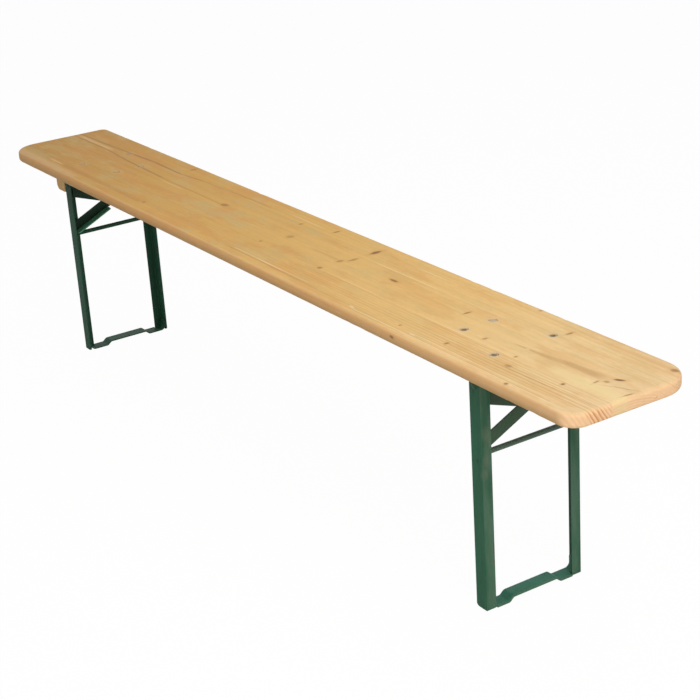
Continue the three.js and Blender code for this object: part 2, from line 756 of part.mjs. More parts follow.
// The folding frame at one end; its angle brace rises towards the given side
function legFrame(end, braceSide) {
  const group = new THREE.Group();
  sides.forEach(({ name, sign }) => {
    group.add(piece(`upright_${name}_${end}`, upright(sign), greenPaint));
    const pin = piece(`hinge_rivet_${name}_${end}`,
      rivet(earInnerY - clearance, frameY + clearance, hingePinRadius, hingeHeadRadius), greenPaint);
    pin.position.set(pivotX, 0, pivotZ);
    pin.rotation.x = sign < 0 ? Math.PI : 0;
    group.add(pin);
  });
  group.add(piece(`foot_strip_${end}`, footStrip(), greenPaint));
  group.add(piece(`cross_rod_${end}`, crossRod(), greenPaint));
  group.add(piece(`brace_angle_${end}`, angleBrace(braceSide), greenPaint));
  group.add(piece(`brace_flat_${end}`, flatBrace(-braceSide), greenPaint));
  group.add(piece(`stay_clevis_${end}`, stayClevis(), greenPaint));
  const knee = piece(`stay_rivet_${end}`,
    rivet(-clevisOuterY - clearance, clevisOuterY + clearance, stayPivotRadius, stayRivetHeadRadius), zinc);
  knee.position.set(stayPivotX, 0, stayPivotZ);
  group.add(knee);
  return group;
}

// The stay and its guide pin at one end
function stay(end) {
  const group = new THREE.Group();
  group.add(piece(`stay_bar_${end}`, stayBar(), greenPaint));
  group.add(piece(`guide_pin_${end}`, guidePin(), zinc));
  return group;
}

const bench = new THREE.Group();
bench.add(...seatBoard());
ends.forEach(({ name, sign }) => {
  const end = new THREE.Group();
  end.add(seatFittings(name), legFrame(name, sign), stay(name));
  end.rotation.z = sign < 0 ? Math.PI : 0;
  bench.add(end);
});

export default bench;
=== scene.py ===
"""Folding bench: a glued pine board on two folding frames of green painted angle steel."""

import sys

import logging
import math
from collections.abc import Callable, Iterable, Sequence
from dataclasses import dataclass, replace
from enum import Enum
from functools import reduce
from operator import add
from random import Random

import bmesh
import bpy
from mathutils import Matrix, Vector, noise


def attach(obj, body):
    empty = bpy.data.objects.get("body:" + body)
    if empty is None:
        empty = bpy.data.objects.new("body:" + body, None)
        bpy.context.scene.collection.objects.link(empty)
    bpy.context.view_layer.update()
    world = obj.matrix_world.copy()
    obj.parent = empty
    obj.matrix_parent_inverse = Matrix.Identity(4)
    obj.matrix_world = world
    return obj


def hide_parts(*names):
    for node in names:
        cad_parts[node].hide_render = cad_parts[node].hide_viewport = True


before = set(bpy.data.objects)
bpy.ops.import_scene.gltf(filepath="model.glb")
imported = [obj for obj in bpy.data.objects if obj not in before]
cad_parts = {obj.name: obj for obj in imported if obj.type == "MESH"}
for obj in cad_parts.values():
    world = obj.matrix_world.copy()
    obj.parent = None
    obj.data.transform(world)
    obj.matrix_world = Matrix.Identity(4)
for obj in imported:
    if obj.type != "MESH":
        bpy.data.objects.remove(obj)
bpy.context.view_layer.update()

LOG = logging.getLogger("folding_bench")

Point2 = tuple[float, float]
Point3 = tuple[float, float, float]
Colour = tuple[float, float, float]
Mark = tuple[float, float, float, float]
Settings = dict[str, object]
Inputs = dict[str | int, object]

SHADE_ANGLE = math.radians(50)
BEVEL_ANGLE = math.radians(40)
FLAT_ANGLE = math.radians(1)
WELD = 1e-6
OVERRUN = 0.004
CLEARANCE = 0.0003
STEEL_BEVEL = 0.0004

UP: Point3 = (0, 0, 1)
DOWN: Point3 = (0, 0, -1)
ALONG_Y: Point3 = (0, 1, 0)


class End(Enum):
    """The two ends of the bench; the second is the first after half a turn about the vertical."""

    A = ("a", 1)
    B = ("b", -1)

    @property
    def letter(self) -> str:
        """Letter that ends the names of this end's CAD nodes."""
        return self.value[0]

    @property
    def sign(self) -> int:
        """Side of the bench's middle that this end is on, along X."""
        return self.value[1]


class Side(Enum):
    """The two uprights of a frame, seen from outside its own end of the bench."""

    LEFT = ("left", -1)
    RIGHT = ("right", 1)

    @property
    def label(self) -> str:
        """Word for this side in the names of CAD nodes."""
        return self.value[0]

    @property
    def sign(self) -> int:
        """Direction of this side along Y at the first end."""
        return self.value[1]


class Plane(Enum):
    """The plane that a flat outline lies in; it gets its thickness along the third axis."""

    XY = "xy"
    XZ = "xz"
    YZ = "yz"

    def point(self, across: float, up: float, level: float) -> Vector:
        """Put an outline point at one level.

        Args:
            across: First coordinate of the outline.
            up: Second coordinate of the outline.
            level: Place along the axis that the outline is extruded on.

        Returns:
            The point in the bench's own frame.
        """
        if self is Plane.XY:
            return Vector((across, up, level))
        if self is Plane.XZ:
            return Vector((across, level, up))
        return Vector((level, across, up))


class Combine(Enum):
    """How one solid changes another."""

    CUT = "DIFFERENCE"
    KEEP = "INTERSECT"
    JOIN = "UNION"


def paint(red: int, green: int, blue: int) -> Colour:
    """Turn a display colour into the linear colour that a shader takes.

    Args:
        red: Red from 0 to 255.
        green: Green from 0 to 255.
        blue: Blue from 0 to 255.

    Returns:
        The linear colour.
    """
    shares = (channel / 255 for channel in (red, green, blue))
    return tuple(s / 12.92 if s <= 0.04045 else ((s + 0.055) / 1.055) ** 2.4 for s in shares)


# Nodes


def arithmetic(
    operation: str, swapped: bool = False
) -> Callable[["Signal", "Signal | float"], "Signal"]:
    """Make the method that works out one operator on signals.

    Args:
        operation: Name of the node's operation.
        swapped: Whether the signal is the second of the two values.

    Returns:
        The method.
    """

    def method(self: "Signal", other: "Signal | float") -> "Signal":
        """Value of the operation."""
        return self.graph.math(operation, *((other, self) if swapped else (self, other)))

    return method


class Signal:
    """A value on a node's output, for use in plain arithmetic."""

    __add__ = arithmetic("ADD")
    __radd__ = arithmetic("ADD", swapped=True)
    __sub__ = arithmetic("SUBTRACT")
    __rsub__ = arithmetic("SUBTRACT", swapped=True)
    __mul__ = arithmetic("MULTIPLY")
    __rmul__ = arithmetic("MULTIPLY", swapped=True)
    __truediv__ = arithmetic("DIVIDE")

    def __init__(self, graph: "NodeGraph", socket: bpy.types.NodeSocket) -> None:
        """Hold one output socket of a graph."""
        self.graph = graph
        self.socket = socket

    def __abs__(self) -> "Signal":
        """Size of this value without its sign."""
        return self.graph.math("ABSOLUTE", self)


class NodeGraph:
    """A node tree that is written as expressions."""

    def __init__(self, tree: bpy.types.NodeTree) -> None:
        """Clear one tree and work on it."""
        self.tree = tree
        tree.nodes.clear()

    def node(
        self, kind: str, settings: Settings | None = None, inputs: Inputs | None = None
    ) -> bpy.types.Node:
        """Make one node.

        Args:
            kind: The node's type name.
            settings: Properties set before the sockets; "stops" fills a ramp and "points" a curve.
            inputs: Values, signals or sockets for the inputs, by name or place.

        Returns:
            The new node.
        """
        made = self.tree.nodes.new(kind)
        for key, value in (settings or {}).items():
            if key == "stops":
                self._fill_ramp(made.color_ramp, value)
            elif key == "points":
                self._fill_curve(made.mapping, value)
            else:
                setattr(made, key, value)
        for key, value in (inputs or {}).items():
            self._feed(made.inputs[key], value)
        return made

    def value(
        self,
        kind: str,
        settings: Settings | None = None,
        inputs: Inputs | None = None,
        output: str | int = 0,
    ) -> Signal:
        """Make one node and take one of its outputs.

        Args:
            kind: The node's type name.
            settings: Properties set before the sockets.
            inputs: Values, signals or sockets for the inputs.
            output: Name or place of the output to take.

        Returns:
            The output as a signal.
        """
        return Signal(self, self.node(kind, settings, inputs).outputs[output])

    def math(self, operation: str, *values: Signal | float) -> Signal:
        """Work out one arithmetic operation on signals and numbers."""
        inputs = dict(enumerate(values))
        return self.value("ShaderNodeMath", {"operation": operation}, inputs)

    def vector(self, x: Signal | float, y: Signal | float, z: Signal | float) -> Signal:
        """Join three numbers into a vector."""
        return self.value("ShaderNodeCombineXYZ", inputs={0: x, 1: y, 2: z})

    def split(self, vector: Signal) -> tuple[Signal, ...]:
        """Take a vector apart into its three numbers."""
        made = self.node("ShaderNodeSeparateXYZ", inputs={0: vector})
        return tuple(Signal(self, made.outputs[i]) for i in range(3))

    def length(self, *sides: Signal) -> Signal:
        """Root of the sum of the squares of some signals."""
        return self.math("SQRT", reduce(add, (side * side for side in sides)))

    def step(self, value: Signal, low: float, high: float) -> Signal:
        """Rise smoothly from 0 at low to 1 at high."""
        inputs = {0: value, 1: low, 2: high, 3: 0.0, 4: 1.0}
        return self.value("ShaderNodeMapRange", {"interpolation_type": "SMOOTHSTEP"}, inputs)

    def share(self, value: Signal, low: float, high: float) -> Signal:
        """Rise evenly from 0 at low to 1 at high, and stay there."""
        inputs = {0: value, 1: low, 2: high, 3: 0.0, 4: 1.0}
        return self.value("ShaderNodeMapRange", {"clamp": True}, inputs)

    def fall(self, value: Signal, low: float, high: float) -> Signal:
        """Drop smoothly from 1 at low to 0 at high."""
        return 1 - self.step(value, low, high)

    def highest(self, *signals: Signal) -> Signal:
        """Largest of some signals."""
        return reduce(lambda top, other: self.math("MAXIMUM", top, other), signals)

    def noise(
        self, vector: Signal, scale: float = 1.0, detail: float = 2.0, rough: float = 0.5
    ) -> Signal:
        """Smooth noise from 0 to 1 over a vector."""
        inputs = {"Vector": vector, "Scale": scale, "Detail": detail, "Roughness": rough}
        return self.value("ShaderNodeTexNoise", inputs=inputs)

    def _feed(self, socket: bpy.types.NodeSocket, value: object) -> None:
        """Link or set one input socket.

        Args:
            socket: The input.
            value: What to link to it or to set it to.
        """
        if isinstance(value, Signal):
            self.tree.links.new(value.socket, socket)
        elif isinstance(value, bpy.types.NodeSocket):
            self.tree.links.new(value, socket)
        elif socket.type == "RGBA":
            socket.default_value = (*value, 1.0)
        else:
            socket.default_value = value

    @staticmethod
    def _fill_ramp(ramp: bpy.types.ColorRamp, stops: Sequence[tuple[float, Colour]]) -> None:
        """Give a colour ramp its stops.

        Args:
            ramp: The ramp.
            stops: Place and colour of each stop.
        """
        while len(ramp.elements) < len(stops):
            ramp.elements.new(1.0)
        for element, (place, colour) in zip(ramp.elements, stops, strict=True):
            element.position = place
            element.color = (*colour, 1.0)

    @staticmethod
    def _fill_curve(mapping: bpy.types.CurveMapping, levels: Sequence[float]) -> None:
        """Give a float curve evenly spaced points with straight runs between them.

        Args:
            mapping: The curve's mapping.
            levels: Height of each point.
        """
        curve = mapping.curves[0]
        last = len(levels) - 1
        for i in range(1, last):
            curve.points.new(i / last, levels[i])
        for i, (point, level) in enumerate(zip(curve.points, levels, strict=True)):
            point.location = (i / last, level)
            point.handle_type = "VECTOR"
        mapping.update()


class ShaderGraph(NodeGraph):
    """A material written as expressions on the piece's own coordinates."""

    def __init__(self, name: str) -> None:
        """Start a material that knows the place of the shaded point in the bench's frame.

        Args:
            name: Name of the material.
        """
        self.material = bpy.data.materials.new(name)
        self.material.use_nodes = True
        super().__init__(self.material.node_tree)
        self.x, self.y, self.z = self.split(self.value("ShaderNodeTexCoord", output="Object"))

    def ramp(self, value: Signal, stops: Sequence[tuple[float, Colour]]) -> Signal:
        """Colour along a ramp."""
        return self.value("ShaderNodeValToRGB", {"stops": stops}, {0: value})

    def blend(self, share: Signal | float, base: Signal | Colour, other: Signal | Colour) -> Signal:
        """Colour between two others."""
        inputs = {0: share, 6: base, 7: other}
        return self.value("ShaderNodeMix", {"data_type": "RGBA"}, inputs, output=2)

    def layers(self, colour: Signal | Colour, *tones: tuple[Signal, Colour]) -> Signal | Colour:
        """Lay tones over a colour in turn.

        Args:
            colour: Colour below them.
            tones: Each tone after its mask.

        Returns:
            The colour on top.
        """
        for mask, tone in tones:
            colour = self.blend(mask, colour, tone)
        return colour

    def shade(self, colour: Signal, strength: Signal) -> Signal:
        """Colour made lighter or darker by a number."""
        inputs = {0: colour, "Scale": strength}
        return self.value("ShaderNodeVectorMath", {"operation": "SCALE"}, inputs)

    def bump(self, height: Signal, distance: float) -> Signal:
        """Surface relief of a height map, with its full height in metres."""
        return self.value("ShaderNodeBump", inputs={"Height": height, "Distance": distance})

    def close(
        self,
        colour: Signal,
        roughness: Signal,
        relief: Signal,
        metallic: Signal | float = 0.0,
        level: float = 0.5,
    ) -> bpy.types.Material:
        """End the material in one surface shader.

        Args:
            colour: Base colour.
            roughness: Roughness over the surface.
            relief: Normal from a bump node.
            metallic: How metallic the surface is.
            level: Strength of the plain reflection.

        Returns:
            The finished material.
        """
        inputs = {"Base Color": colour, "Roughness": roughness, "Normal": relief}
        inputs |= {"Metallic": metallic, "Specular IOR Level": level}
        shader = self.node("ShaderNodeBsdfPrincipled", inputs=inputs)
        self.node("ShaderNodeOutputMaterial", inputs={"Surface": shader.outputs[0]})
        return self.material


class ShapeGraph(NodeGraph):
    """A geometry tree with named sizes, baked into plain meshes."""

    def __init__(self, name: str, *sizes: str) -> None:
        """Start a tree whose inputs are a host's geometry, some sizes and a material.

        Args:
            name: Name of the tree.
            sizes: Names of its sizes.
        """
        super().__init__(bpy.data.node_groups.new(name, "GeometryNodeTree"))
        self._entry("Geometry", "INPUT", "NodeSocketGeometry")
        self._entry("Geometry", "OUTPUT", "NodeSocketGeometry")
        self._keys = {key: self._entry(key, "INPUT", "NodeSocketFloat") for key in sizes}
        self._keys["material"] = self._entry("material", "INPUT", "NodeSocketMaterial")
        self._inputs = self.node("NodeGroupInput")

    def _entry(self, name: str, way: str, kind: str) -> str:
        """Add a socket to the tree's interface and return its identifier."""
        return self.tree.interface.new_socket(name=name, in_out=way, socket_type=kind).identifier

    def size(self, name: str) -> Signal:
        """One named input as a signal."""
        return Signal(self, self._inputs.outputs[name])

    def geometry(self) -> bpy.types.NodeSocket:
        """The geometry of the piece that carries the tree."""
        return self._inputs.outputs["Geometry"]

    def place_at_points(self, shape: bpy.types.NodeSocket, turn: Signal | None = None) -> None:
        """End the tree with a copy of one shape at each point of the host.

        Args:
            shape: The shape's geometry.
            turn: Rotation of each copy.
        """
        inputs = {"Points": self.geometry(), "Instance": shape}
        if turn:
            inputs["Rotation"] = turn
        self.close(self.node("GeometryNodeInstanceOnPoints", inputs=inputs).outputs[0])

    def close(self, shape: bpy.types.NodeSocket) -> None:
        """End the tree with real meshes in the chosen material.

        Args:
            shape: The geometry that it has made.
        """
        real = self.node("GeometryNodeRealizeInstances", inputs={"Geometry": shape})
        inputs = {"Geometry": real.outputs[0], "Material": self.size("material")}
        dressed = self.node("GeometryNodeSetMaterial", inputs=inputs)
        self.node("NodeGroupOutput", inputs={0: dressed.outputs[0]})

    def bake(self, name: str, host: "Part", coat: "Coat", **sizes: float) -> "Part":
        """Run the tree on a host and keep the result as a plain piece.

        Args:
            name: Name of the new piece.
            host: Points or lines that the tree works on; it is used up.
            coat: Finish of the result.
            sizes: Values for all the named sizes.

        Returns:
            The new piece.
        """
        modifier = host.piece.modifiers.new(name, "NODES")
        modifier.node_group = self.tree
        for key, value in {**sizes, "material": coat.material}.items():
            modifier[self._keys[key]] = value
        host.settle()
        host.rename(name)
        return host


# Meshes


def arc(centre: Point2, radius: float, start: float, end: float, steps: int) -> list[Point2]:
    """Points along an arc, both ends included, with angles in degrees."""
    angles = (math.radians(start + (end - start) * i / steps) for i in range(steps + 1))
    return [(centre[0] + radius * math.cos(a), centre[1] + radius * math.sin(a)) for a in angles]


def rounded(corners: Sequence[Point3], steps: int = 6) -> list[Point2]:
    """Round the corners of an outline.

    Args:
        corners: Corner points, each with its own radius.
        steps: Steps of each arc.

    Returns:
        The points of the closed outline.
    """
    outline: list[Point2] = []
    for i, (x, y, radius) in enumerate(corners):
        corner = Vector((x, y))
        if radius == 0:
            outline.append((x, y))
            continue
        arrive = (Vector(corners[i - 1][:2]) - corner).normalized()
        leave = (Vector(corners[(i + 1) % len(corners)][:2]) - corner).normalized()
        half = arrive.angle(leave) / 2
        centre = corner + (arrive + leave).normalized() * (radius / math.sin(half))
        first = corner + arrive * (radius / math.tan(half)) - centre
        last = corner + leave * (radius / math.tan(half)) - centre
        start = math.atan2(first.y, first.x)
        sweep = math.remainder(math.atan2(last.y, last.x) - start, math.tau)
        angles = math.degrees(start), math.degrees(start + sweep)
        outline += arc(tuple(centre), radius, *angles, steps)
    return outline


def form_of(mesh: bpy.types.Mesh) -> bmesh.types.BMesh:
    """Open a mesh as a form that can be changed.

    Args:
        mesh: The mesh, which stays as it is.

    Returns:
        The form.
    """
    form = bmesh.new()
    form.from_mesh(mesh)
    return form


class Part:
    """One piece of the bench while it is made."""

    def __init__(self, name: str, form: bmesh.types.BMesh) -> None:
        """Make a piece of a mesh form, which is used up.

        Args:
            name: Name of the piece.
            form: The form.
        """
        bmesh.ops.recalc_face_normals(form, faces=form.faces)
        mesh = bpy.data.meshes.new(name)
        form.to_mesh(mesh)
        form.free()
        self.piece = bpy.data.objects.new(name, mesh)
        bpy.context.scene.collection.objects.link(self.piece)

    @classmethod
    def prism(
        cls, name: str, outline: Sequence[Point2], plane: Plane, low: float, high: float
    ) -> "Part":
        """Give a flat outline its thickness.

        Args:
            name: Name of the piece.
            outline: Points of the closed outline.
            plane: Plane that the outline lies in.
            low: Lower level along the third axis.
            high: Upper level along the third axis.

        Returns:
            The solid plate.
        """
        form = bmesh.new()
        near, far = (
            [form.verts.new(plane.point(a, b, level)) for a, b in outline] for level in (low, high)
        )
        form.faces.new(near)
        form.faces.new(far[::-1])
        for i in range(len(outline)):
            form.faces.new((near[i], near[i - 1], far[i - 1], far[i]))
        return cls(name, form)

    @classmethod
    def box(cls, name: str, low: Point3, high: Point3) -> "Part":
        """Make a block between two corners."""
        outline = [(low[0], low[1]), (high[0], low[1]), (high[0], high[1]), (low[0], high[1])]
        return cls.prism(name, outline, Plane.XY, low[2], high[2])

    @classmethod
    def turned(
        cls, name: str, profile: Sequence[Point2], centre: Point3, way: Point3 = UP, steps: int = 32
    ) -> "Part":
        """Turn a profile about an axis.

        Args:
            name: Name of the piece.
            profile: Radius and height of each ring; the first and last have no radius.
            centre: Place of height zero.
            way: Direction of the axis.
            steps: Facets around.

        Returns:
            The turned solid.
        """
        form = bmesh.new()
        turn = Vector(UP).rotation_difference(Vector(way)).to_matrix().to_4x4()
        matrix = Matrix.Translation(centre) @ turn
        rings = []
        for radius, height in profile:
            ring = arc((0, 0), radius, 0, 360, steps)[:-1] if radius else [(0, 0)]
            rings.append([form.verts.new(matrix @ Vector((x, y, height))) for x, y in ring])
        for lower, upper in zip(rings, rings[1:]):
            for i in range(steps):
                corners = [lower[i % len(lower)], lower[(i + 1) % len(lower)]]
                corners += [upper[(i + 1) % len(upper)], upper[i % len(upper)]]
                form.faces.new(dict.fromkeys(corners))
        return cls(name, form)

    @classmethod
    def bore(cls, x: float, z: float, radius: float, reach: float) -> "Part":
        """Make the cutter of a round hole along Y, with its reach on both sides of the middle."""
        profile = [(0, -reach), (radius, -reach), (radius, reach), (0, reach)]
        return cls.turned("bore", profile, (x, 0, z), ALONG_Y)

    @classmethod
    def from_node(cls, name: str, node: str) -> "Part":
        """Start from a merged copy of a CAD node's mesh.

        Args:
            name: Name of the piece.
            node: Name of the CAD node.

        Returns:
            The solid.
        """
        form = form_of(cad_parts[node].data)
        bmesh.ops.remove_doubles(form, verts=form.verts, dist=WELD)
        bmesh.ops.dissolve_limit(form, angle_limit=FLAT_ANGLE, verts=form.verts, edges=form.edges)
        return cls(name, form)

    @classmethod
    def points(cls, places: Iterable[tuple[Point3, Point3]]) -> "Part":
        """Make loose points that each carry the direction of what goes there.

        Args:
            places: Place and direction of each point.

        Returns:
            The points.
        """
        form = bmesh.new()
        way = form.verts.layers.float_vector.new("way")
        for place, direction in places:
            form.verts.new(place)[way] = Vector(direction)
        return cls("points", form)

    @classmethod
    def lines(cls, paths: Iterable[Sequence[Point3]]) -> "Part":
        """Make loose open lines through points.

        Args:
            paths: Points of each line.

        Returns:
            The lines.
        """
        form = bmesh.new()
        for path in paths:
            knots = [form.verts.new(point) for point in path]
            for start, end in zip(knots, knots[1:]):
                form.edges.new((start, end))
        return cls("lines", form)

    def settle(self) -> None:
        """Replace the mesh and its modifiers by the plain result."""
        depsgraph = bpy.context.evaluated_depsgraph_get()
        mesh = bpy.data.meshes.new_from_object(self.piece.evaluated_get(depsgraph))
        spent = self.piece.data
        self.piece.modifiers.clear()
        self.piece.data = mesh
        bpy.data.meshes.remove(spent)

    def rename(self, name: str) -> None:
        """Give the piece and its mesh a name."""
        self.piece.name = name
        self.piece.data.name = name

    def combine(self, how: Combine, *others: "Part") -> "Part":
        """Cut with, keep inside or join other parts, which are used up.

        Args:
            how: What to do with them.
            others: The other parts.

        Returns:
            This part, changed.
        """
        for other in others:
            modifier = self.piece.modifiers.new(how.name, "BOOLEAN")
            modifier.operation = how.value
            modifier.solver = "EXACT"
            modifier.object = other.piece
            self.settle()
            other.discard()
        return self

    def soften(self, width: float, steps: int = 2) -> "Part":
        """Round every hard edge by a small bevel.

        Args:
            width: Width of the bevel.
            steps: Steps of its round.

        Returns:
            This part, changed.
        """
        modifier = self.piece.modifiers.new("soften", "BEVEL")
        modifier.width = width
        modifier.segments = steps
        modifier.limit_method = "ANGLE"
        modifier.angle_limit = BEVEL_ANGLE
        self.settle()
        return self

    def half_turn(self, end: End) -> "Part":
        """Turn a piece of the first end over to the end it is for.

        Args:
            end: The end it is for.

        Returns:
            This part.
        """
        if end is End.B:
            self.piece.data.transform(Matrix.Rotation(math.pi, 4, "Z"))
        return self

    def copy(self, name: str) -> "Part":
        """Make a second piece of the same mesh."""
        return Part(name, form_of(self.piece.data))

    def discard(self) -> None:
        """Delete the piece and its mesh."""
        mesh = self.piece.data
        bpy.data.objects.remove(self.piece)
        bpy.data.meshes.remove(mesh)

    def fit(self, body: str, nodes: Sequence[str], coat: "Coat") -> None:
        """Shade the piece, give it its finish and fix it to a body.

        Args:
            body: CAD body that carries the piece.
            nodes: CAD nodes that the piece stands for.
            coat: Finish of the piece.
        """
        self._shade()
        self.piece.data.materials.clear()
        self.piece.data.materials.append(coat.material)
        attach(self.piece, body)
        if nodes:
            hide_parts(*nodes)
        LOG.info("%s on %s: %d faces", self.piece.name, body, len(self.piece.data.polygons))

    def _shade(self) -> None:
        """Shade round forms smooth and keep flat faces flat and hard edges hard."""
        form = form_of(self.piece.data)
        for face in form.faces:
            face.smooth = True
            face.material_index = 0
        for edge in form.edges:
            edge.smooth = edge.is_manifold and edge.calc_face_angle() < SHADE_ANGLE
        form.to_mesh(self.piece.data)
        form.free()
        modifier = self.piece.modifiers.new("shade", "WEIGHTED_NORMAL")
        modifier.keep_sharp = True
        self.settle()


# Finishes


@dataclass(frozen=True)
class Coat:
    """A finish as pieces wear it: its material and the name of its slot."""

    slot: str
    material: bpy.types.Material


@dataclass(frozen=True)
class Knot:
    """A knot, a speck or another round mark in the timber, in metres.

    Its half length lies along the grain, or turned from it by some degrees across the seat. A mark
    with a height is a spot at that height, and any other goes right through the timber.
    """

    x: float
    y: float
    length: float
    width: float
    tone: float = 0.8
    turn: float = 0.0
    height: float | None = None


@dataclass(frozen=True)
class Streak:
    """A line or band that runs along the timber, in metres."""

    start: Point2
    end: Point2
    half_widths: Point2
    colour: Colour
    strength: float


@dataclass(frozen=True)
class PineFinish:
    """Oiled and worn pine, cut from one place in one log.

    A span is where something rises or falls: a height over the ground, a distance from the
    bench's middle or, for a stain, from a bolt's axis.
    """

    name: str
    pith: Point2
    ring: float
    seed: float
    ring_strength: float = 0.5
    end_strength: float = 0.3
    uneven: float = 1.6
    knots: tuple[Knot, ...] = ()
    streaks: tuple[Streak, ...] = ()
    bolts: tuple[Point2, ...] = ()
    # Tones along the board, from the far end to the near end: partly the timber's own tone and
    # partly painted shade for the light that falls off towards the far end.
    tones: tuple[tuple[float, Colour], ...] = (
        (0.0, paint(188, 140, 66)),
        (0.25, paint(203, 156, 80)),
        (0.5, paint(211, 167, 93)),
        (0.75, paint(221, 181, 114)),
        (0.93, paint(223, 191, 138)),
        (1.0, paint(221, 190, 143)),
    )
    half_length: float = 1.1
    rim_top: Point2 = (0.475, 0.4792)
    # Heights over which the painted shade at the foot of the sides fades out.
    rim_bottom: Point2 = (0.453, 0.456)
    rim_end: Point2 = (1.058, 1.088)
    low_edge_span: Point2 = (0.457, 0.473)
    # Heights of the painted highlight along the rounded top edge.
    arris_rise: Point2 = (0.4755, 0.4785)
    arris_fall: Point2 = (0.4792, 0.480)
    stain_height: Point2 = (0.474, 0.477)
    stain_reach: Point2 = (0.008, 0.018)
    near_stain: float = 0.32
    far_stain: float = 0.25
    streak_fade: float = 0.03
    relief: float = 0.00035
    late_wood: Colour = paint(184, 130, 62)
    end_rings: Colour = paint(206, 128, 70)
    orange: Colour = paint(202, 146, 78)
    grey: Colour = paint(196, 170, 112)
    edge: Colour = paint(220, 166, 112)
    edge_low: Colour = paint(162, 130, 88)
    arris: Colour = paint(230, 190, 144)
    # Pale end grain, partly painted light on the end face that faces the lamps.
    end_grain: Colour = paint(246, 200, 154)
    knot_rim: Colour = paint(190, 134, 62)
    knot_core: Colour = paint(104, 66, 26)
    iron_stain: Colour = paint(196, 182, 152)

    def material(self) -> bpy.types.Material:
        """Make the timber's material.

        Returns:
            The material.
        """
        graph = ShaderGraph(self.name)
        x, y, z = graph.x, graph.y, graph.z
        wobble = graph.noise(graph.vector(x * 30, y * 60, self.seed), detail=3) - 0.5
        rims, cores = self._knot_masks(graph, wobble)
        late = self._growth_rings(graph, rims)
        # Darker towards the far end: timber tone and painted fall-off of the light.
        colour = graph.ramp(graph.share(x, -self.half_length, self.half_length), self.tones)
        colour = self._edges_and_rings(graph, self._mottle(graph, colour), late)
        masks = [self._streak_mask(graph, wobble, streak) for streak in self.streaks]
        colour = graph.layers(colour, *zip(masks, (streak.colour for streak in self.streaks)))
        colour = self._bolt_marks(graph, colour)
        colour = graph.layers(colour, (rims * 0.4, self.knot_rim), (cores * 0.9, self.knot_core))
        fibre = graph.noise(graph.vector(x * 14, y * 913, z * 913 + self.seed), detail=3, rough=0.6)
        colour = graph.shade(colour, 0.94 + 0.12 * fibre)
        roughness = 0.55 + 0.1 * fibre - 0.08 * cores + 0.05 * late
        height = fibre * 0.35 + late * 0.45 - cores * 0.6
        return graph.close(colour, roughness, graph.bump(height, self.relief), level=0.25)

    def _growth_rings(self, graph: ShaderGraph, rims: Signal) -> Signal:
        """Lay the growth rings round the pith.

        Args:
            graph: The material's tree.
            rims: Soft rims of the knots, which push the rings aside.

        Returns:
            Mask of the late wood.
        """
        x, y, z = graph.x, graph.y, graph.z
        drift = graph.noise(graph.vector(x * 1.3, self.seed, 0.0), detail=1) - 0.5
        flow = graph.noise(graph.vector(x * 3, y * 22, z * 22), detail=2) - 0.5
        across = y - self.pith[0] - drift * 0.03
        depth = z - self.pith[1] + drift * 0.03
        radius = graph.length(across, depth) + flow * 0.005 + rims * 0.003
        pace = graph.noise(graph.vector(radius * 60, self.seed, x * 0.3), detail=1)
        count = radius / self.ring + pace * self.uneven
        within = graph.math("FRACT", count)
        late = graph.step(within, 0.25, 0.86) * graph.fall(within, 0.9, 1.0)
        vary = graph.noise(graph.vector(count * 0.43, x * 0.8, self.seed), detail=1)
        return late * (0.12 + 0.88 * graph.step(vary, 0.38, 0.64))

    def _mottle(self, graph: ShaderGraph, colour: Signal) -> Signal:
        """Lay soft patches and long fibres of other tones over the timber.

        Args:
            graph: The material's tree.
            colour: Colour so far.

        Returns:
            The mottled colour.
        """
        x, y, z = graph.x, graph.y, graph.z
        share = 0.5 + 0.5 * graph.fall(x, -0.2, 0.7)
        spots = graph.vector(x * 6 + self.seed, y * 18, z * 18)
        warm = graph.step(graph.noise(spots, detail=4, rough=0.65), 0.46, 0.62)
        spots = graph.vector(x * 7, y * 20 + self.seed, z * 20)
        cool = graph.step(graph.noise(spots, detail=4, rough=0.65), 0.48, 0.64)
        tones = (warm * share * 0.6, self.orange), (cool * share * 0.5, self.grey)
        band = graph.noise(graph.vector(x * 2.2, y * 95, z * 95 + self.seed), detail=3, rough=0.6)
        fleck = graph.noise(graph.vector(x * 55, y * 190, z * 190 + self.seed), detail=3, rough=0.7)
        return graph.shade(graph.layers(colour, *tones), 0.79 + 0.25 * band + 0.19 * fleck)

    def _edges_and_rings(self, graph: ShaderGraph, colour: Signal, late: Signal) -> Signal:
        """Lay the tones of the sides, ends and arrises over the timber, and then its rings.

        Args:
            graph: The material's tree.
            colour: Colour so far.
            late: Mask of the late wood.

        Returns:
            The colour with its edges and rings.
        """
        x, z = graph.x, graph.z
        rim = graph.fall(z, *self.rim_top) * graph.step(z, *self.rim_bottom)
        ends = rim * graph.step(abs(x), *self.rim_end)
        sides = rim - ends
        # Painted highlight along the rounded top edge.
        arris = graph.step(z, *self.arris_rise) * graph.fall(z, *self.arris_fall)
        rings = late * self.ring_strength * (0.4 + 0.6 * graph.step(x, 0.1, 0.95))
        return graph.layers(
            colour,
            (sides * 0.6, self.edge),
            # Painted shade: the sides darken towards the underside.
            (sides * graph.fall(z, *self.low_edge_span) * 0.6, self.edge_low),
            (arris * 0.35, self.arris),
            # End faces: end grain tone, partly painted light.
            (ends * 0.7, self.end_grain),
            (rings * (1 - rim * 0.3), self.late_wood),
            (late * ends * self.end_strength, self.end_rings),
        )

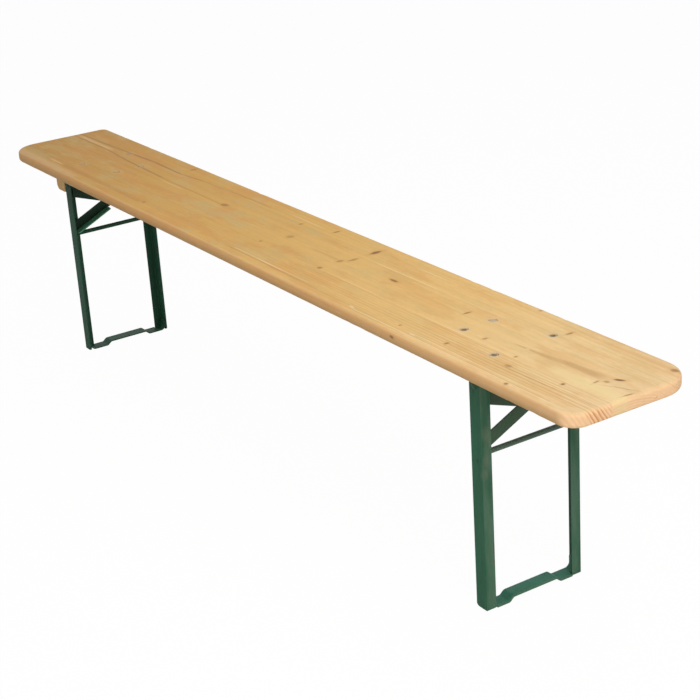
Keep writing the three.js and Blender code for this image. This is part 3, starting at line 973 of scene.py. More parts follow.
    def _knot_masks(self, graph: ShaderGraph, wobble: Signal) -> tuple[Signal, Signal]:
        """Find where the knots lie.

        Args:
            graph: The material's tree.
            wobble: Noise that makes them uneven.

        Returns:
            Masks of their soft rims and dark cores.
        """
        rims, cores = wobble * 0, wobble * 0
        for knot in self.knots:
            along, across = graph.x - knot.x, graph.y - knot.y
            if knot.turn:
                turn = math.radians(knot.turn)
                cosine, sine = math.cos(turn), math.sin(turn)
                along, across = along * cosine + across * sine, across * cosine - along * sine
            sides = [along * (1 / knot.length) + wobble, across * (1 / knot.width) + wobble * 0.7]
            if knot.height:
                sides.append((graph.z - knot.height) * (1 / knot.width))
            reach = graph.length(*sides)
            rims = graph.highest(rims, graph.fall(reach, 0.7, 2.2) * knot.tone)
            cores = graph.highest(cores, graph.fall(reach, 0.5, 1.15) * knot.tone)
        return rims, cores

    def _streak_mask(self, graph: ShaderGraph, wobble: Signal, streak: Streak) -> Signal:
        """Find where one streak shows.

        Args:
            graph: The material's tree.
            wobble: Noise that makes its line uneven.
            streak: The streak.

        Returns:
            Its mask.
        """
        x = graph.x
        (x0, y0), (x1, y1) = streak.start, streak.end
        half0, half1 = streak.half_widths
        share = graph.share(x, x0, x1)
        middle = share * (y1 - y0) + y0 + wobble * 0.002
        half = share * (half1 - half0) + half0
        fade = min(self.streak_fade, (x1 - x0) / 3)
        ends = graph.step(x, x0 - fade / 2, x0 + fade) * graph.fall(x, x1 - fade, x1 + fade / 2)
        return graph.fall(abs(graph.y - middle) / half, 0.25, 1.0) * ends * streak.strength

    def _bolt_marks(self, graph: ShaderGraph, colour: Signal) -> Signal:
        """Lay the iron stain round each sunk bolt head over the timber.

        Args:
            graph: The material's tree.
            colour: Colour so far.

        Returns:
            The stained colour.
        """
        on_top = graph.step(graph.z, *self.stain_height)
        for bolt_x, bolt_y in self.bolts:
            reach = graph.length(graph.x - bolt_x, graph.y - bolt_y)
            share = self.near_stain if bolt_x > 0 else self.far_stain
            mask = graph.fall(reach, *self.stain_reach) * on_top * share
            colour = graph.blend(mask, colour, self.iron_stain)
        return colour


@dataclass(frozen=True)
class PaintFinish:
    """Green paint on steel, scuffed, chipped at the corners and dusty at the feet.

    The inside of an angle lies between two distances from the middle along one axis; the darker
    colour there is painted shade. Painted shade also darkens inner pieces under the seat, and the
    outer face's worn tone is partly a painted sheen. A mark is a place and a radius.
    """

    name: str
    colour: Colour = paint(40, 90, 66)
    light: Colour = paint(56, 104, 80)
    dark: Colour = paint(24, 60, 42)
    # Worn, faded tone of the outer face, partly a painted sheen of the bright surround.
    weathered: Colour = paint(84, 112, 84)
    rust: Colour = paint(104, 74, 52)
    dust: Colour = paint(108, 118, 96)
    # Painted shade under the seat: its colour, how strongly it shows and the heights it rises
    # between.
    grime: Colour = paint(46, 62, 42)
    grime_share: float = 1.0
    fade_share: float = 0.65
    outer_face: Point2 = (0.8323, 0.8328)
    dust_height: float = 0.07
    grime_height: Point2 = (0.33, 0.42)
    corner: Point2 = (0.833, 0.110)
    chip_reach: float = 0.003
    relief: float = 0.00015
    # Painted shade: colour of the inside of an angle.
    hollow: Colour | None = None
    hollow_axis: int = 1
    hollow_span: Point2 = (0.086, 0.1096)
    hollow_fade: float = 0.0004
    # Dark marks: paint specks, and painted shade where a mark sits by a gap.
    dots: tuple[Mark, ...] = ()
    smudges: tuple[Mark, ...] = ()
    specks: tuple[Mark, ...] = ()

    def material(self) -> bpy.types.Material:
        """Make the paint's material.

        Returns:
            The material.
        """
        graph = ShaderGraph(self.name)
        x, y, z = graph.x, graph.y, graph.z
        cloud = graph.noise(graph.vector(x * 14, y * 14, z * 6), detail=3)
        runs = graph.noise(graph.vector(x * 90, y * 90, z * 5), detail=2)
        faded = graph.noise(graph.vector(x * 30, y * 60, z * 9), detail=3)
        dusty = graph.noise(graph.vector(x * 40, y * 40, z * 30), detail=4, rough=0.65)
        outside = graph.step(abs(x), *self.outer_face)
        dust = graph.step(dusty, 0.55, 0.78) * (0.12 + 0.3 * graph.fall(z, 0.0, self.dust_height))
        dust = graph.highest(dust, self._round_marks(graph, dusty, self.smudges) * 0.28)
        colour = graph.layers(
            self.colour,
            (graph.step(cloud, 0.38, 0.75) * 0.6, self.light),
            (graph.step(runs, 0.5, 0.75) * 0.4, self.dark),
            # Outer face: real fading, partly a painted sheen of the bright surround.
            (outside * graph.step(faded, 0.2, 0.65) * self.fade_share, self.weathered),
            (dust, self.dust),
        )
        # Painted shade: the inside of an angle gets a darker colour.
        if self.hollow:
            colour = graph.blend(self._inside(graph) * (1 - outside), colour, self.hollow)
        # Painted shade: inner pieces darken towards the top, where the seat shades them.
        grime = graph.step(z, *self.grime_height) * (1 - outside)
        chips = self._chips(graph)
        colour = graph.layers(
            colour,
            (grime * (0.35 + 0.5 * cloud) * self.grime_share, self.grime),
            # Dark marks: paint specks, and painted shade by a gap.
            (self._round_marks(graph, dusty, self.dots) * 0.8, self.dark),
            (chips, self.rust),
        )
        peel = graph.noise(graph.vector(x, y, z), scale=420, detail=1)
        roughness = 0.45 + 0.16 * dusty + 0.35 * chips
        height = 0.3 * peel + 0.5 * runs - 0.6 * chips
        return graph.close(colour, roughness, graph.bump(height, self.relief), level=0.22)

    def _inside(self, graph: ShaderGraph) -> Signal:
        """Find where the shaded inside of an angle lies.

        Args:
            graph: The material's tree.

        Returns:
            Its mask.
        """
        reach = abs((graph.x, graph.y, graph.z)[self.hollow_axis])
        (low, high), fade = self.hollow_span, self.hollow_fade
        return graph.step(reach, low, low + fade) * graph.fall(reach, high - fade, high)

    def _round_marks(self, graph: ShaderGraph, grit: Signal, marks: Sequence[Mark]) -> Signal:
        """Find where a few round marks lie.

        Args:
            graph: The material's tree.
            grit: Fine noise that makes their edges ragged.
            marks: The marks.

        Returns:
            Their mask.
        """
        ragged = (grit - 0.5) * 0.006
        total = grit * 0
        for x, y, z, radius in marks:
            reach = graph.length(graph.x - x, graph.y - y, (graph.z - z) * 0.6) + ragged
            total = graph.highest(total, graph.fall(reach, radius * 0.4, radius))
        return total

    def _chips(self, graph: ShaderGraph) -> Signal:
        """Find where the paint is off.

        Args:
            graph: The material's tree.

        Returns:
            Mask of the bare places.
        """
        place = graph.vector(graph.x, graph.y, graph.z)
        grit = graph.noise(place, scale=130, detail=4, rough=0.65)
        patch = graph.noise(place, scale=16, detail=2)
        edge = graph.length(abs(graph.x) - self.corner[0], abs(graph.y) - self.corner[1])
        near_edge = graph.fall(edge, 0.0, self.chip_reach) * graph.step(patch, 0.56, 0.7)
        scattered = graph.step(grit, 0.74, 0.78) * graph.step(patch, 0.55, 0.65) * 0.6
        worn = graph.step(grit, 0.52, 0.62) * near_edge * 0.2
        marks = self._round_marks(graph, grit, self.specks) * 0.4
        return graph.highest(scattered, worn, marks)


@dataclass(frozen=True)
class MetalFinish:
    """Bare or plated steel with stains and fine scratches, and old varnish on sunk bolt heads,
    whose pale rims are partly a painted reflection.
    """

    name: str
    colour: Colour
    stain: Colour
    metallic: float
    rough: float
    film: Colour | None = None
    old_film: Colour = paint(188, 148, 94)
    film_share: float = 0.8
    bolts: tuple[Point2, ...] = ((0.818, 0.065), (0.691, 0.0325))
    covered: Point2 = (0.691, 0.0325)
    head_height: Point2 = (0.474, 0.476)
    middle: Point2 = (-0.01, 0.01)
    rim_reach: Point2 = (0.0040, 0.0068)
    covered_reach: Point2 = (0.010, 0.012)
    relief: float = 0.00008

    def material(self) -> bpy.types.Material:
        """Make the metal's material.

        Returns:
            The material.
        """
        graph = ShaderGraph(self.name)
        x, y, z = graph.x, graph.y, graph.z
        cloud = graph.noise(graph.vector(x, y, z), scale=260, detail=4, rough=0.6)
        fine = graph.noise(graph.vector(x * 2600, y * 300, z * 2600), detail=2)
        stained = graph.step(cloud, 0.42, 0.68)
        colour = graph.blend(stained, self.colour, self.stain)
        metallic = self.metallic - 0.35 * stained
        roughness = self.rough + 0.2 * stained + 0.08 * fine
        # Varnish on the bolt heads; its pale rims are partly a painted reflection of light on the
        # domed heads.
        if self.film:
            film = self._film(graph, cloud) * self.film_share
            tone = graph.blend(graph.fall(x, *self.middle), self.film, self.old_film)
            colour = graph.blend(film, colour, tone)
            metallic = metallic * (1 - film)
        relief = graph.bump(fine * 0.4 + cloud, self.relief)
        return graph.close(colour, roughness, relief, metallic)

    def _film(self, graph: ShaderGraph, cloud: Signal) -> Signal:
        """Find the varnish on the bolt heads, round their rims or all over; the pale rims are
        partly a painted reflection.

        Args:
            graph: The material's tree.
            cloud: Noise that makes its edge uneven.

        Returns:
            Mask of the varnish.
        """
        below = graph.fall(graph.z, *self.head_height)
        reach = below + 1
        for bolt_x, bolt_y in self.bolts:
            near = graph.length(abs(graph.x) - bolt_x, abs(graph.y) - bolt_y)
            reach = graph.math("MINIMUM", reach, near)
        rims = graph.step(reach + (cloud - 0.5) * 0.004, *self.rim_reach)
        centre = graph.length(graph.x - self.covered[0], graph.y - self.covered[1])
        whole = graph.fall(centre, *self.covered_reach) * 0.8
        return graph.highest(rims, whole, graph.fall(graph.x, *self.middle)) * (1 - below)


# The seat


DARK_LINE = paint(150, 104, 58)
LIGHT_LINE = paint(234, 206, 158)
PALE_LINE = paint(240, 206, 168)
HEART = paint(182, 138, 84)
FRONT_LIGHT = paint(212, 172, 124)

FRONT_PINE = PineFinish(
    name="seat_pine_front",
    pith=(0.090, 0.575),
    ring=0.0066,
    seed=3.7,
    ring_strength=0.42,
    end_strength=0.85,
    uneven=1.1,
    knots=(
        Knot(0.723, -0.095, 0.004, 0.005, 0.7),
        Knot(0.598, -0.105, 0.003, 0.004, 0.5),
        Knot(0.928, -0.1265, 0.0042, 0.0036, 0.7),
        Knot(0.990, -0.060, 0.0035, 0.0045, 0.85),
        Knot(0.8727, -0.078, 0.008, 0.006, 0.4),
        Knot(-0.420, -0.098, 0.006, 0.005, 0.4),
        Knot(0.612, -0.1345, 0.0075, 0.0035, 0.7, 0.0, 0.4694),
    ),
    streaks=(
        Streak((0.87, -0.0855), (1.10, -0.0785), (0.0012, 0.0016), DARK_LINE, 0.5),
        Streak((0.90, -0.0750), (1.06, -0.0650), (0.0012, 0.0012), DARK_LINE, 0.35),
        Streak((0.932, -0.1262), (0.942, -0.1262), (0.002, 0.002), LIGHT_LINE, 0.8),
        Streak((0.0, -0.106), (0.30, -0.108), (0.002, 0.002), LIGHT_LINE, 0.5),
        Streak((0.10, -0.108), (0.20, -0.108), (0.002, 0.002), LIGHT_LINE, 0.7),
        Streak((-0.02, -0.112), (0.29, -0.113), (0.002, 0.001), DARK_LINE, 0.45),
        Streak((0.64, -0.112), (1.02, -0.113), (0.0015, 0.0015), LIGHT_LINE, 0.5),
        Streak((0.45, -0.1225), (1.06, -0.1225), (0.0014, 0.0014), PALE_LINE, 0.6),
        Streak((0.62, -0.1260), (0.98, -0.1265), (0.0012, 0.0012), PALE_LINE, 0.45),
        Streak((0.55, -0.1195), (1.04, -0.1190), (0.0008, 0.0010), DARK_LINE, 0.3),
        Streak((0.452, -0.118), (0.470, -0.118), (0.0022, 0.0022), LIGHT_LINE, 1.0),
        Streak((0.640, -0.116), (0.658, -0.116), (0.0018, 0.0018), LIGHT_LINE, 0.9),
        Streak((-1.08, -0.087), (-0.80, -0.088), (0.002, 0.002), DARK_LINE, 0.4),
        Streak((-0.93, -0.100), (-0.85, -0.100), (0.004, 0.004), LIGHT_LINE, 0.45),
        Streak((-1.12, -0.124), (-0.72, -0.124), (0.016, 0.012), FRONT_LIGHT, 0.6),
        Streak((-0.86, -0.100), (-0.42, -0.104), (0.012, 0.010), paint(180, 124, 58), 0.4),
        Streak((0.24, -0.0525), (1.10, -0.0525), (0.0009, 0.0009), DARK_LINE, 0.3),
    ),
    bolts=((0.818, -0.065), (-0.818, -0.065)),
)

MIDDLE_PINE = PineFinish(
    name="seat_pine_middle",
    pith=(-0.020, 0.300),
    ring=0.0052,
    seed=11.2,
    ring_strength=0.18,
    end_strength=0.16,
    knots=(
        Knot(0.400, 0.020, 0.014, 0.0045, 0.8),
        Knot(0.631, 0.020, 0.003, 0.009, 0.7),
        Knot(0.751, -0.032, 0.0045, 0.006, 0.5),
        Knot(0.850, -0.044, 0.003, 0.004, 0.6),
        Knot(1.0390, 0.0200, 0.0105, 0.0042, 1.0, 35),
        Knot(1.0305, -0.0007, 0.0055, 0.0040, 0.55, 35),
        Knot(1.0194, -0.0140, 0.0085, 0.0024, 0.55, 98),
        Knot(1.0915, -0.0107, 0.0110, 0.0018, 0.65, 83),
        Knot(0.030, 0.015, 0.009, 0.010, 0.35),
        Knot(0.243, 0.030, 0.005, 0.016, 0.45),
        Knot(0.232, 0.006, 0.006, 0.009, 0.45),
        Knot(0.237, -0.045, 0.006, 0.006, 0.6),
        Knot(0.010, -0.046, 0.004, 0.004, 0.5),
        Knot(-0.267, 0.025, 0.014, 0.008, 0.5),
    ),
    streaks=(
        Streak((0.92, -0.031), (1.12, -0.031), (0.022, 0.024), paint(230, 206, 150), 0.6),
        Streak((0.80, -0.009), (0.92, -0.002), (0.002, 0.010), HEART, 0.55),
        Streak((0.905, 0.0), (1.022, 0.007), (0.010, 0.017), HEART, 0.65),
        Streak((1.027, -0.019), (1.098, 0.016), (0.0015, 0.0012), DARK_LINE, 0.45),
        Streak((0.832, -0.0075), (0.842, -0.0070), (0.002, 0.002), LIGHT_LINE, 0.8),
        Streak((0.12, 0.008), (0.235, 0.008), (0.003, 0.006), DARK_LINE, 0.3),
        Streak((-1.09, 0.040), (-0.90, 0.042), (0.004, 0.004), DARK_LINE, 0.4),
        Streak((-0.90, 0.042), (-0.767, 0.033), (0.004, 0.005), DARK_LINE, 0.55),
        Streak((-0.78, 0.033), (-0.553, 0.025), (0.004, 0.004), DARK_LINE, 0.6),
        Streak((-0.56, 0.025), (-0.26, 0.022), (0.003, 0.003), DARK_LINE, 0.3),
        Streak((-1.08, 0.048), (-0.88, 0.0485), (0.003, 0.003), LIGHT_LINE, 0.55),
        Streak((-0.55, 0.014), (-0.44, 0.014), (0.003, 0.003), LIGHT_LINE, 0.35),
        Streak((0.30, -0.0495), (1.10, -0.0495), (0.0016, 0.0016), LIGHT_LINE, 0.3),
    ),
    bolts=((0.691, -0.0325), (0.691, 0.0325), (-0.691, -0.0325), (-0.691, 0.0325)),
)

REAR_PINE = PineFinish(
    name="seat_pine_rear",
    pith=(0.155, 0.580),
    ring=0.0060,
    seed=23.9,
    ring_strength=0.17,
    end_strength=0.14,
    knots=(
        Knot(0.239, 0.088, 0.0065, 0.016, 0.9),
        Knot(0.072, 0.103, 0.0035, 0.009, 0.7),
        Knot(0.831, 0.091, 0.004, 0.009, 0.6),
        Knot(0.712, 0.125, 0.004, 0.004, 0.5),
        Knot(1.0690, 0.1120, 0.0095, 0.0080, 0.6, 48),
        Knot(-0.570, 0.113, 0.006, 0.012, 0.4),
        Knot(-0.027, 0.077, 0.004, 0.006, 0.5),
    ),
    streaks=(
        Streak((-1.09, 0.060), (-0.80, 0.070), (0.004, 0.004), DARK_LINE, 0.5),
        Streak((-0.81, 0.070), (-0.70, 0.075), (0.005, 0.006), DARK_LINE, 0.7),
        Streak((-0.71, 0.075), (-0.553, 0.072), (0.006, 0.004), DARK_LINE, 0.65),
        Streak((-0.56, 0.072), (-0.46, 0.083), (0.004, 0.004), DARK_LINE, 0.45),
        Streak((-0.47, 0.083), (-0.18, 0.092), (0.004, 0.004), DARK_LINE, 0.25),
        Streak((-1.08, 0.0535), (-0.88, 0.0535), (0.0025, 0.0025), LIGHT_LINE, 0.5),
        Streak((0.287, 0.0535), (0.507, 0.0535), (0.0016, 0.0016), LIGHT_LINE, 0.65),
        Streak((0.50, 0.0535), (0.90, 0.0535), (0.0012, 0.0012), LIGHT_LINE, 0.35),
        Streak((0.373, 0.097), (0.467, 0.096), (0.0022, 0.0022), LIGHT_LINE, 0.6),
        Streak((-0.10, 0.098), (0.03, 0.096), (0.003, 0.003), LIGHT_LINE, 0.4),
    ),
    bolts=((0.818, 0.065), (-0.818, 0.065)),
)


@dataclass
class SeatBoard:
    """The seat: three strips glued edge to edge, with rounded and worn edges."""

    length: float = 2.2
    width: float = 0.27
    top: float = 0.48
    thickness: float = 0.027
    edge_radius: float = 0.008
    corner_radii: tuple[float, float, float, float] = (0.036, 0.064, 0.020, 0.064)
    seam: float = 0.051
    groove: float = 0.00012
    bore: float = 0.0033
    recess: float = 0.0083
    recess_depth: float = 0.003
    recess_break: float = 0.0006
    edge_steps: int = 7
    corner_steps: int = 14
    edge_step: float = 0.012
    flat_margin: float = 0.002
    wear: float = 0.0003
    dents: int = 34
    dent_depth: float = 0.0009
    dent_share: Point2 = (0.3, 1.0)
    dent_reach: Point2 = (0.006, 0.016)
    dent_margin: float = 0.05
    dent_inset: float = 0.003
    dent_rises: Point3 = (0.002, 0.003, 0.004)
    seed: int = 5
    bolts: tuple[Point2, ...] = (
        (0.818, -0.065),
        (0.818, 0.065),
        (0.691, -0.0325),
        (0.691, 0.0325),
    )
    cracks: tuple[tuple[Point2, ...], ...] = (
        ((1.0275, 0.006), (1.0235, -0.002), (1.0245, -0.008), (1.0210, -0.014)),
        ((1.0430, -0.004), (1.0560, -0.002), (1.0720, 0.003), (1.0860, 0.005)),
    )
    crack_half_width: float = 0.00045
    crack_depth: float = 0.0025
    end_check: tuple[Point2, ...] = (
        (0.0386, 0.4612),
        (0.0394, 0.4602),
        (0.0446, 0.4636),
        (0.0440, 0.4646),
    )
    check_depth: float = 0.004
    strips: tuple[tuple[str, PineFinish], ...] = (
        ("front", FRONT_PINE),
        ("middle", MIDDLE_PINE),
        ("rear", REAR_PINE),
    )

    def make(self) -> None:
        """Build the three strips and fit them to the seat."""
        shell = self._shell()
        reach = self.width / 2 + OVERRUN
        spans = ((-reach, -self.seam), (-self.seam, self.seam), (self.seam, reach))
        for (label, finish), (low, high) in zip(self.strips, spans, strict=True):
            strip = shell.copy(f"seat_{label}").combine(Combine.KEEP, self._slab(low, high))
            for sign in (1, -1):
                for x, y in self.bolts:
                    if low < sign * y < high:
                        strip.combine(Combine.CUT, self._bolt_hole(sign * x, sign * y))
            for crack in self.cracks:
                if low < crack[0][1] < high:
                    strip.combine(Combine.CUT, self._crack(crack))
            if low < self.end_check[0][0] < high:
                end = self.length / 2
                reach = (end - self.check_depth, end + OVERRUN)
                strip.combine(Combine.CUT, Part.prism("check", self.end_check, Plane.YZ, *reach))
            strip.fit("seat", [f"seat_strip_{label}"], Coat("seat_pine", finish.material()))
        shell.discard()

    def _outline(self, inset: float) -> list[tuple[Vector, Vector]]:
        """Lay points along the board's outline.

        Args:
            inset: How far in from the board's edge it lies.

        Returns:
            Each point with its outward direction.
        """
        half = Vector((self.length / 2, self.width / 2))
        signs = ((1, -1), (1, 1), (-1, 1), (-1, -1))
        centres = [
            Vector((sx * (half.x - radius), sy * (half.y - radius)))
            for (sx, sy), radius in zip(signs, self.corner_radii, strict=True)
        ]
        points = []
        for i, (centre, radius) in enumerate(zip(centres, self.corner_radii, strict=True)):
            for k in range(self.corner_steps + 1):
                turn = math.radians(-90 + 90 * i + 90 * k / self.corner_steps)
                way = Vector((math.cos(turn), math.sin(turn)))
                points.append((centre + way * (radius - inset), way))
            following = (i + 1) % len(centres)
            end = centres[following] + way * (self.corner_radii[following] - inset)
            start = points[-1][0]
            count = round((end - start).length / self.edge_step)
            points += [(start.lerp(end, k / count), way) for k in range(1, count)]
        return points

    def _shell(self) -> Part:
        """Build the whole board as one closed shell with its edges worn.

        Returns:
            The shell.
        """
        form = bmesh.new()
        levels = self._levels()
        dents = self._dent_places()
        rings = []
        for inset, z, tilt in levels:
            ring = []
            for point, way in self._outline(inset):
                outward = Vector((way.x * math.cos(tilt), way.y * math.cos(tilt), math.sin(tilt)))
                place = Vector((point.x, point.y, z))
                on_edge = inset <= self.edge_radius - WELD
                loss = self._edge_loss(place, dents) if on_edge else 0.0
                ring.append(form.verts.new(place - outward * loss))
            rings.append(ring)
        form.faces.new(rings[0])
        form.faces.new(rings[-1])
        for lower, upper in zip(rings, rings[1:]):
            for i in range(len(lower)):
                form.faces.new((lower[i - 1], lower[i], upper[i], upper[i - 1]))
        return Part("seat_shell", form)

    def _levels(self) -> list[Point3]:
        """Lay out the shell's rings.

        Returns:
            Inset, height and tilt of each ring, from the underside to the top.
        """
        bottom = self.top - self.thickness
        rim = self.edge_radius + self.flat_margin
        levels = [(rim, bottom, -math.pi / 2)]
        for i in range(self.edge_steps + 1):
            tilt = -math.pi / 2 * (1 - i / self.edge_steps)
            inset = self.edge_radius * (1 - math.cos(tilt))
            levels.append((inset, bottom + self.edge_radius * (1 + math.sin(tilt)), tilt))
        for i in range(self.edge_steps + 1):
            tilt = math.pi / 2 * i / self.edge_steps
            inset = self.edge_radius * (1 - math.cos(tilt))
            levels.append((inset, self.top - self.edge_radius * (1 - math.sin(tilt)), tilt))
        return [*levels, (rim, self.top, math.pi / 2)]

    def _dent_places(self) -> list[tuple[Vector, float, float]]:
        """Spread dents along the board's edges.

        Returns:
            Place, reach and depth of each dent.
        """
        chance = Random(self.seed)
        top, bottom = self.top, self.top - self.thickness
        end, side = self.length / 2 - self.dent_margin, self.width / 2 - self.dent_inset
        high, low, middle = self.dent_rises
        dents = []
        for _ in range(self.dents):
            edge = chance.choice((-1, 1))
            x = chance.uniform(-end, end)
            z = chance.choice((top - high, bottom + low, top - middle))
            reach, depth = chance.uniform(*self.dent_reach), chance.uniform(*self.dent_share)
            dents.append((Vector((x, edge * side, z)), reach, depth * self.dent_depth))
        return dents

    def _edge_loss(self, place: Vector, dents: Sequence[tuple[Vector, float, float]]) -> float:
        """Find how much timber is worn off at one place of the edge.

        Args:
            place: The place.
            dents: Place, reach and depth of each dent.

        Returns:
            Depth of the loss.
        """
        loss = self.wear * (0.5 + 0.5 * noise.noise(place * 22))
        for centre, reach, depth in dents:
            distance = (place - centre).length
            if distance < reach:
                loss += depth * (1 - (distance / reach) ** 2) ** 2
        return loss

    def _slab(self, low: float, high: float) -> Part:
        """Build the room of one strip, with the fine open groove along its seams.

        Args:
            low: Lower end of its room along Y.
            high: Upper end of its room along Y.

        Returns:
            A block that the strip is kept from.
        """
        bottom = self.top - self.thickness
        half = self.width / 2
        outline = []
        for y, way in ((low, 1), (high, -1)):
            if abs(y) > half:
                edge = [(y, bottom - OVERRUN), (y, self.top + OVERRUN)]
            else:
                lip = y + way * (self.groove + OVERRUN)
                edge = [(lip, bottom - OVERRUN), (y, bottom + self.groove)]
                edge += [(y, self.top - self.groove), (lip, self.top + OVERRUN)]
            outline += edge if way > 0 else edge[::-1]
        end = self.length / 2 + OVERRUN
        return Part.prism("slab", outline, Plane.YZ, -end, end)

    def _bolt_hole(self, x: float, y: float) -> Part:
        """Build the cutter of a bolt hole: a bore, a recess for the head and a broken rim.

        Args:
            x: Place of the bolt.
            y: Place of the bolt.

        Returns:
            The cutter.
        """
        depth, lip = -self.thickness - OVERRUN, self.recess_break
        profile = [(0, depth), (self.bore, depth), (self.bore, -self.recess_depth)]
        profile += [(self.recess, -self.recess_depth), (self.recess, -lip)]
        profile += [(self.recess + lip + OVERRUN, OVERRUN), (0, OVERRUN)]
        return Part.turned("bolt_hole", profile, (x, y, self.top))

    def _crack(self, line: Sequence[Point2]) -> Part:
        """Build the cutter of a drying crack that tapers to nothing at both ends.

        Args:
            line: Points along the crack.

        Returns:
            The cutter.
        """
        ways = [(Vector(b) - Vector(a)).normalized() for a, b in zip(line, line[1:])]
        inner = []
        for i in range(1, len(line) - 1):
            way = (ways[i - 1] + ways[i]).normalized()
            inner.append((Vector(line[i]), Vector((-way.y, way.x)) * self.crack_half_width))
        left = [tuple(point + side) for point, side in inner]
        right = [tuple(point - side) for point, side in inner]
        outline = [line[0], *right, line[-1], *left[::-1]]
        reach = (self.top - self.crack_depth, self.top + OVERRUN)
        return Part.prism("crack", outline, Plane.XY, *reach)


# Fasteners


Profile = tuple[tuple[float, float, float, float], ...]


class TurnedFastener(ShapeGraph):
    """A tree for turned fasteners: a head and a shank at each point of a host.

    Each row of the profile gives the shares of the head radius and of the shank radius that
    make the ring's radius, and the shares of the head height and of the length that it lies at.
    """

    def __init__(self, name: str, profile: Profile, facets: int = 28) -> None:
        """Build the tree.

        Args:
            name: Name of the tree.
            profile: Rows from the crown of the head to the tip.
            facets: Facets around.
        """
        super().__init__(name, "head_radius", "head_height", "shank_radius", "length")
        inputs = {"Size X": 1.0, "Size Y": 1.0}
        inputs |= {"Vertices X": facets + 1, "Vertices Y": len(profile)}
        sheet = self.node("GeometryNodeMeshGrid", inputs=inputs)
        across, along, _ = self.split(self.value("GeometryNodeInputPosition"))
        turn = (across + 0.5) * math.tau
        head, shank, rise, reach = (self._curve(along + 0.5, levels) for levels in zip(*profile))
        radius = head * self.size("head_radius") + shank * self.size("shank_radius")
        height = rise * self.size("head_height") + reach * self.size("length")
        cosine, sine = self.math("COSINE", turn), self.math("SINE", turn)
        place = self.vector(radius * cosine, radius * sine, height)
        inputs = {"Geometry": sheet.outputs[0], "Position": place}
        spun = self.node("GeometryNodeSetPosition", inputs=inputs)
        inputs = {"Geometry": spun.outputs[0], "Distance": WELD}
        closed = self.node("GeometryNodeMergeByDistance", inputs=inputs)
        kind = {"data_type": "FLOAT_VECTOR"}
        way = self.value("GeometryNodeInputNamedAttribute", kind, {"Name": "way"})
        aim = self.value("FunctionNodeAlignRotationToVector", {"axis": "Z"}, {"Vector": way})
        self.place_at_points(closed.outputs[0], aim)

    def _curve(self, along: Signal, levels: Sequence[float]) -> Signal:
        """One column of the profile as a curve over its rows."""
        return self.value("ShaderNodeFloatCurve", {"points": levels}, {"Value": along})


def dome(steps: int, top: float) -> Profile:
    """Profile rows of a domed head.

    Args:
        steps: Steps from its crown to its rim.
        top: Share of the length that its base lies at.

    Returns:
        The rows, crown first.
    """
    turns = [math.pi / 2 * (1 - i / steps) for i in range(1, steps + 1)]
    return ((0.0, 0.0, 1.0, top), *((math.cos(turn), 0.0, math.sin(turn), top) for turn in turns))


CARRIAGE_BOLT = (
    *dome(6, 1.0),
    (0.97, 0.0, 0.0, 0.993),
    (0.0, 1.0, 0.0, 0.993),
    (0.0, 1.0, 0.0, 0.03),
    (0.0, 0.72, 0.0, 0.0),
    (0.0, 0.0, 0.0, 0.0),
)
RIVET = (
    *[(head, shank, 0.5 + rise / 2, reach) for head, shank, rise, reach in dome(5, 1.0)],
    (0.0, 1.0, 0.5, 1.0),
    (0.0, 1.0, 0.5, 0.0),
    *[(head, shank, 0.5 - rise / 2, 0.0) for head, shank, rise, _ in dome(5, 0.0)[::-1]],
)
GUIDE_PIN = (
    (0.0, 0.0, 1.0, 1.0),
    (0.88, 0.0, 1.0, 1.0),
    (1.0, 0.0, 0.72, 1.0),
    (1.0, 0.0, 0.0, 1.0),
    (0.0, 1.0, 0.0, 1.0),
    (0.0, 1.0, 0.0, 0.06),
    (0.0, 0.86, 0.0, 0.0),
    (0.0, 0.0, 0.0, 0.0),
)
WOOD_SCREW = (*dome(4, 1.0), (0.0, 1.0, 0.0, 0.99), (0.0, 1.0, 0.0, 0.25), (0.0, 0.0, 0.0, 0.0))


class HexNut(ShapeGraph):
    """A tree for hexagon nuts with turned-off corners, one at each point of a host."""

    trim_share: float = 1.03

    def __init__(self) -> None:
        """Build the tree."""
        super().__init__("hex_nut", "corner_radius", "height", "bore")
        corner, height = self.size("corner_radius"), self.size("height")
        inputs = {"Vertices": 6, "Radius": corner, "Depth": height}
        block = self.node("GeometryNodeMeshCylinder", inputs=inputs)
        inputs = {"Segments": 48, "Rings": 32, "Radius": corner * self.trim_share}
        ball = self.node("GeometryNodeMeshUVSphere", inputs=inputs)
        how = {"operation": "INTERSECT", "solver": "EXACT"}
        trimmed = self.node("GeometryNodeMeshBoolean", how)
        for shape in (block, ball):
            self.tree.links.new(shape.outputs["Mesh"], trimmed.inputs["Mesh 2"])
        inputs = {"Vertices": 24, "Radius": self.size("bore"), "Depth": height * 1.5}
        bore = self.node("GeometryNodeMeshCylinder", inputs=inputs)
        how = {"operation": "DIFFERENCE", "solver": "EXACT"}
        inputs = {"Mesh 1": trimmed.outputs["Mesh"], "Mesh 2": bore.outputs["Mesh"]}
        self.place_at_points(self.node("GeometryNodeMeshBoolean", how, inputs).outputs["Mesh"])


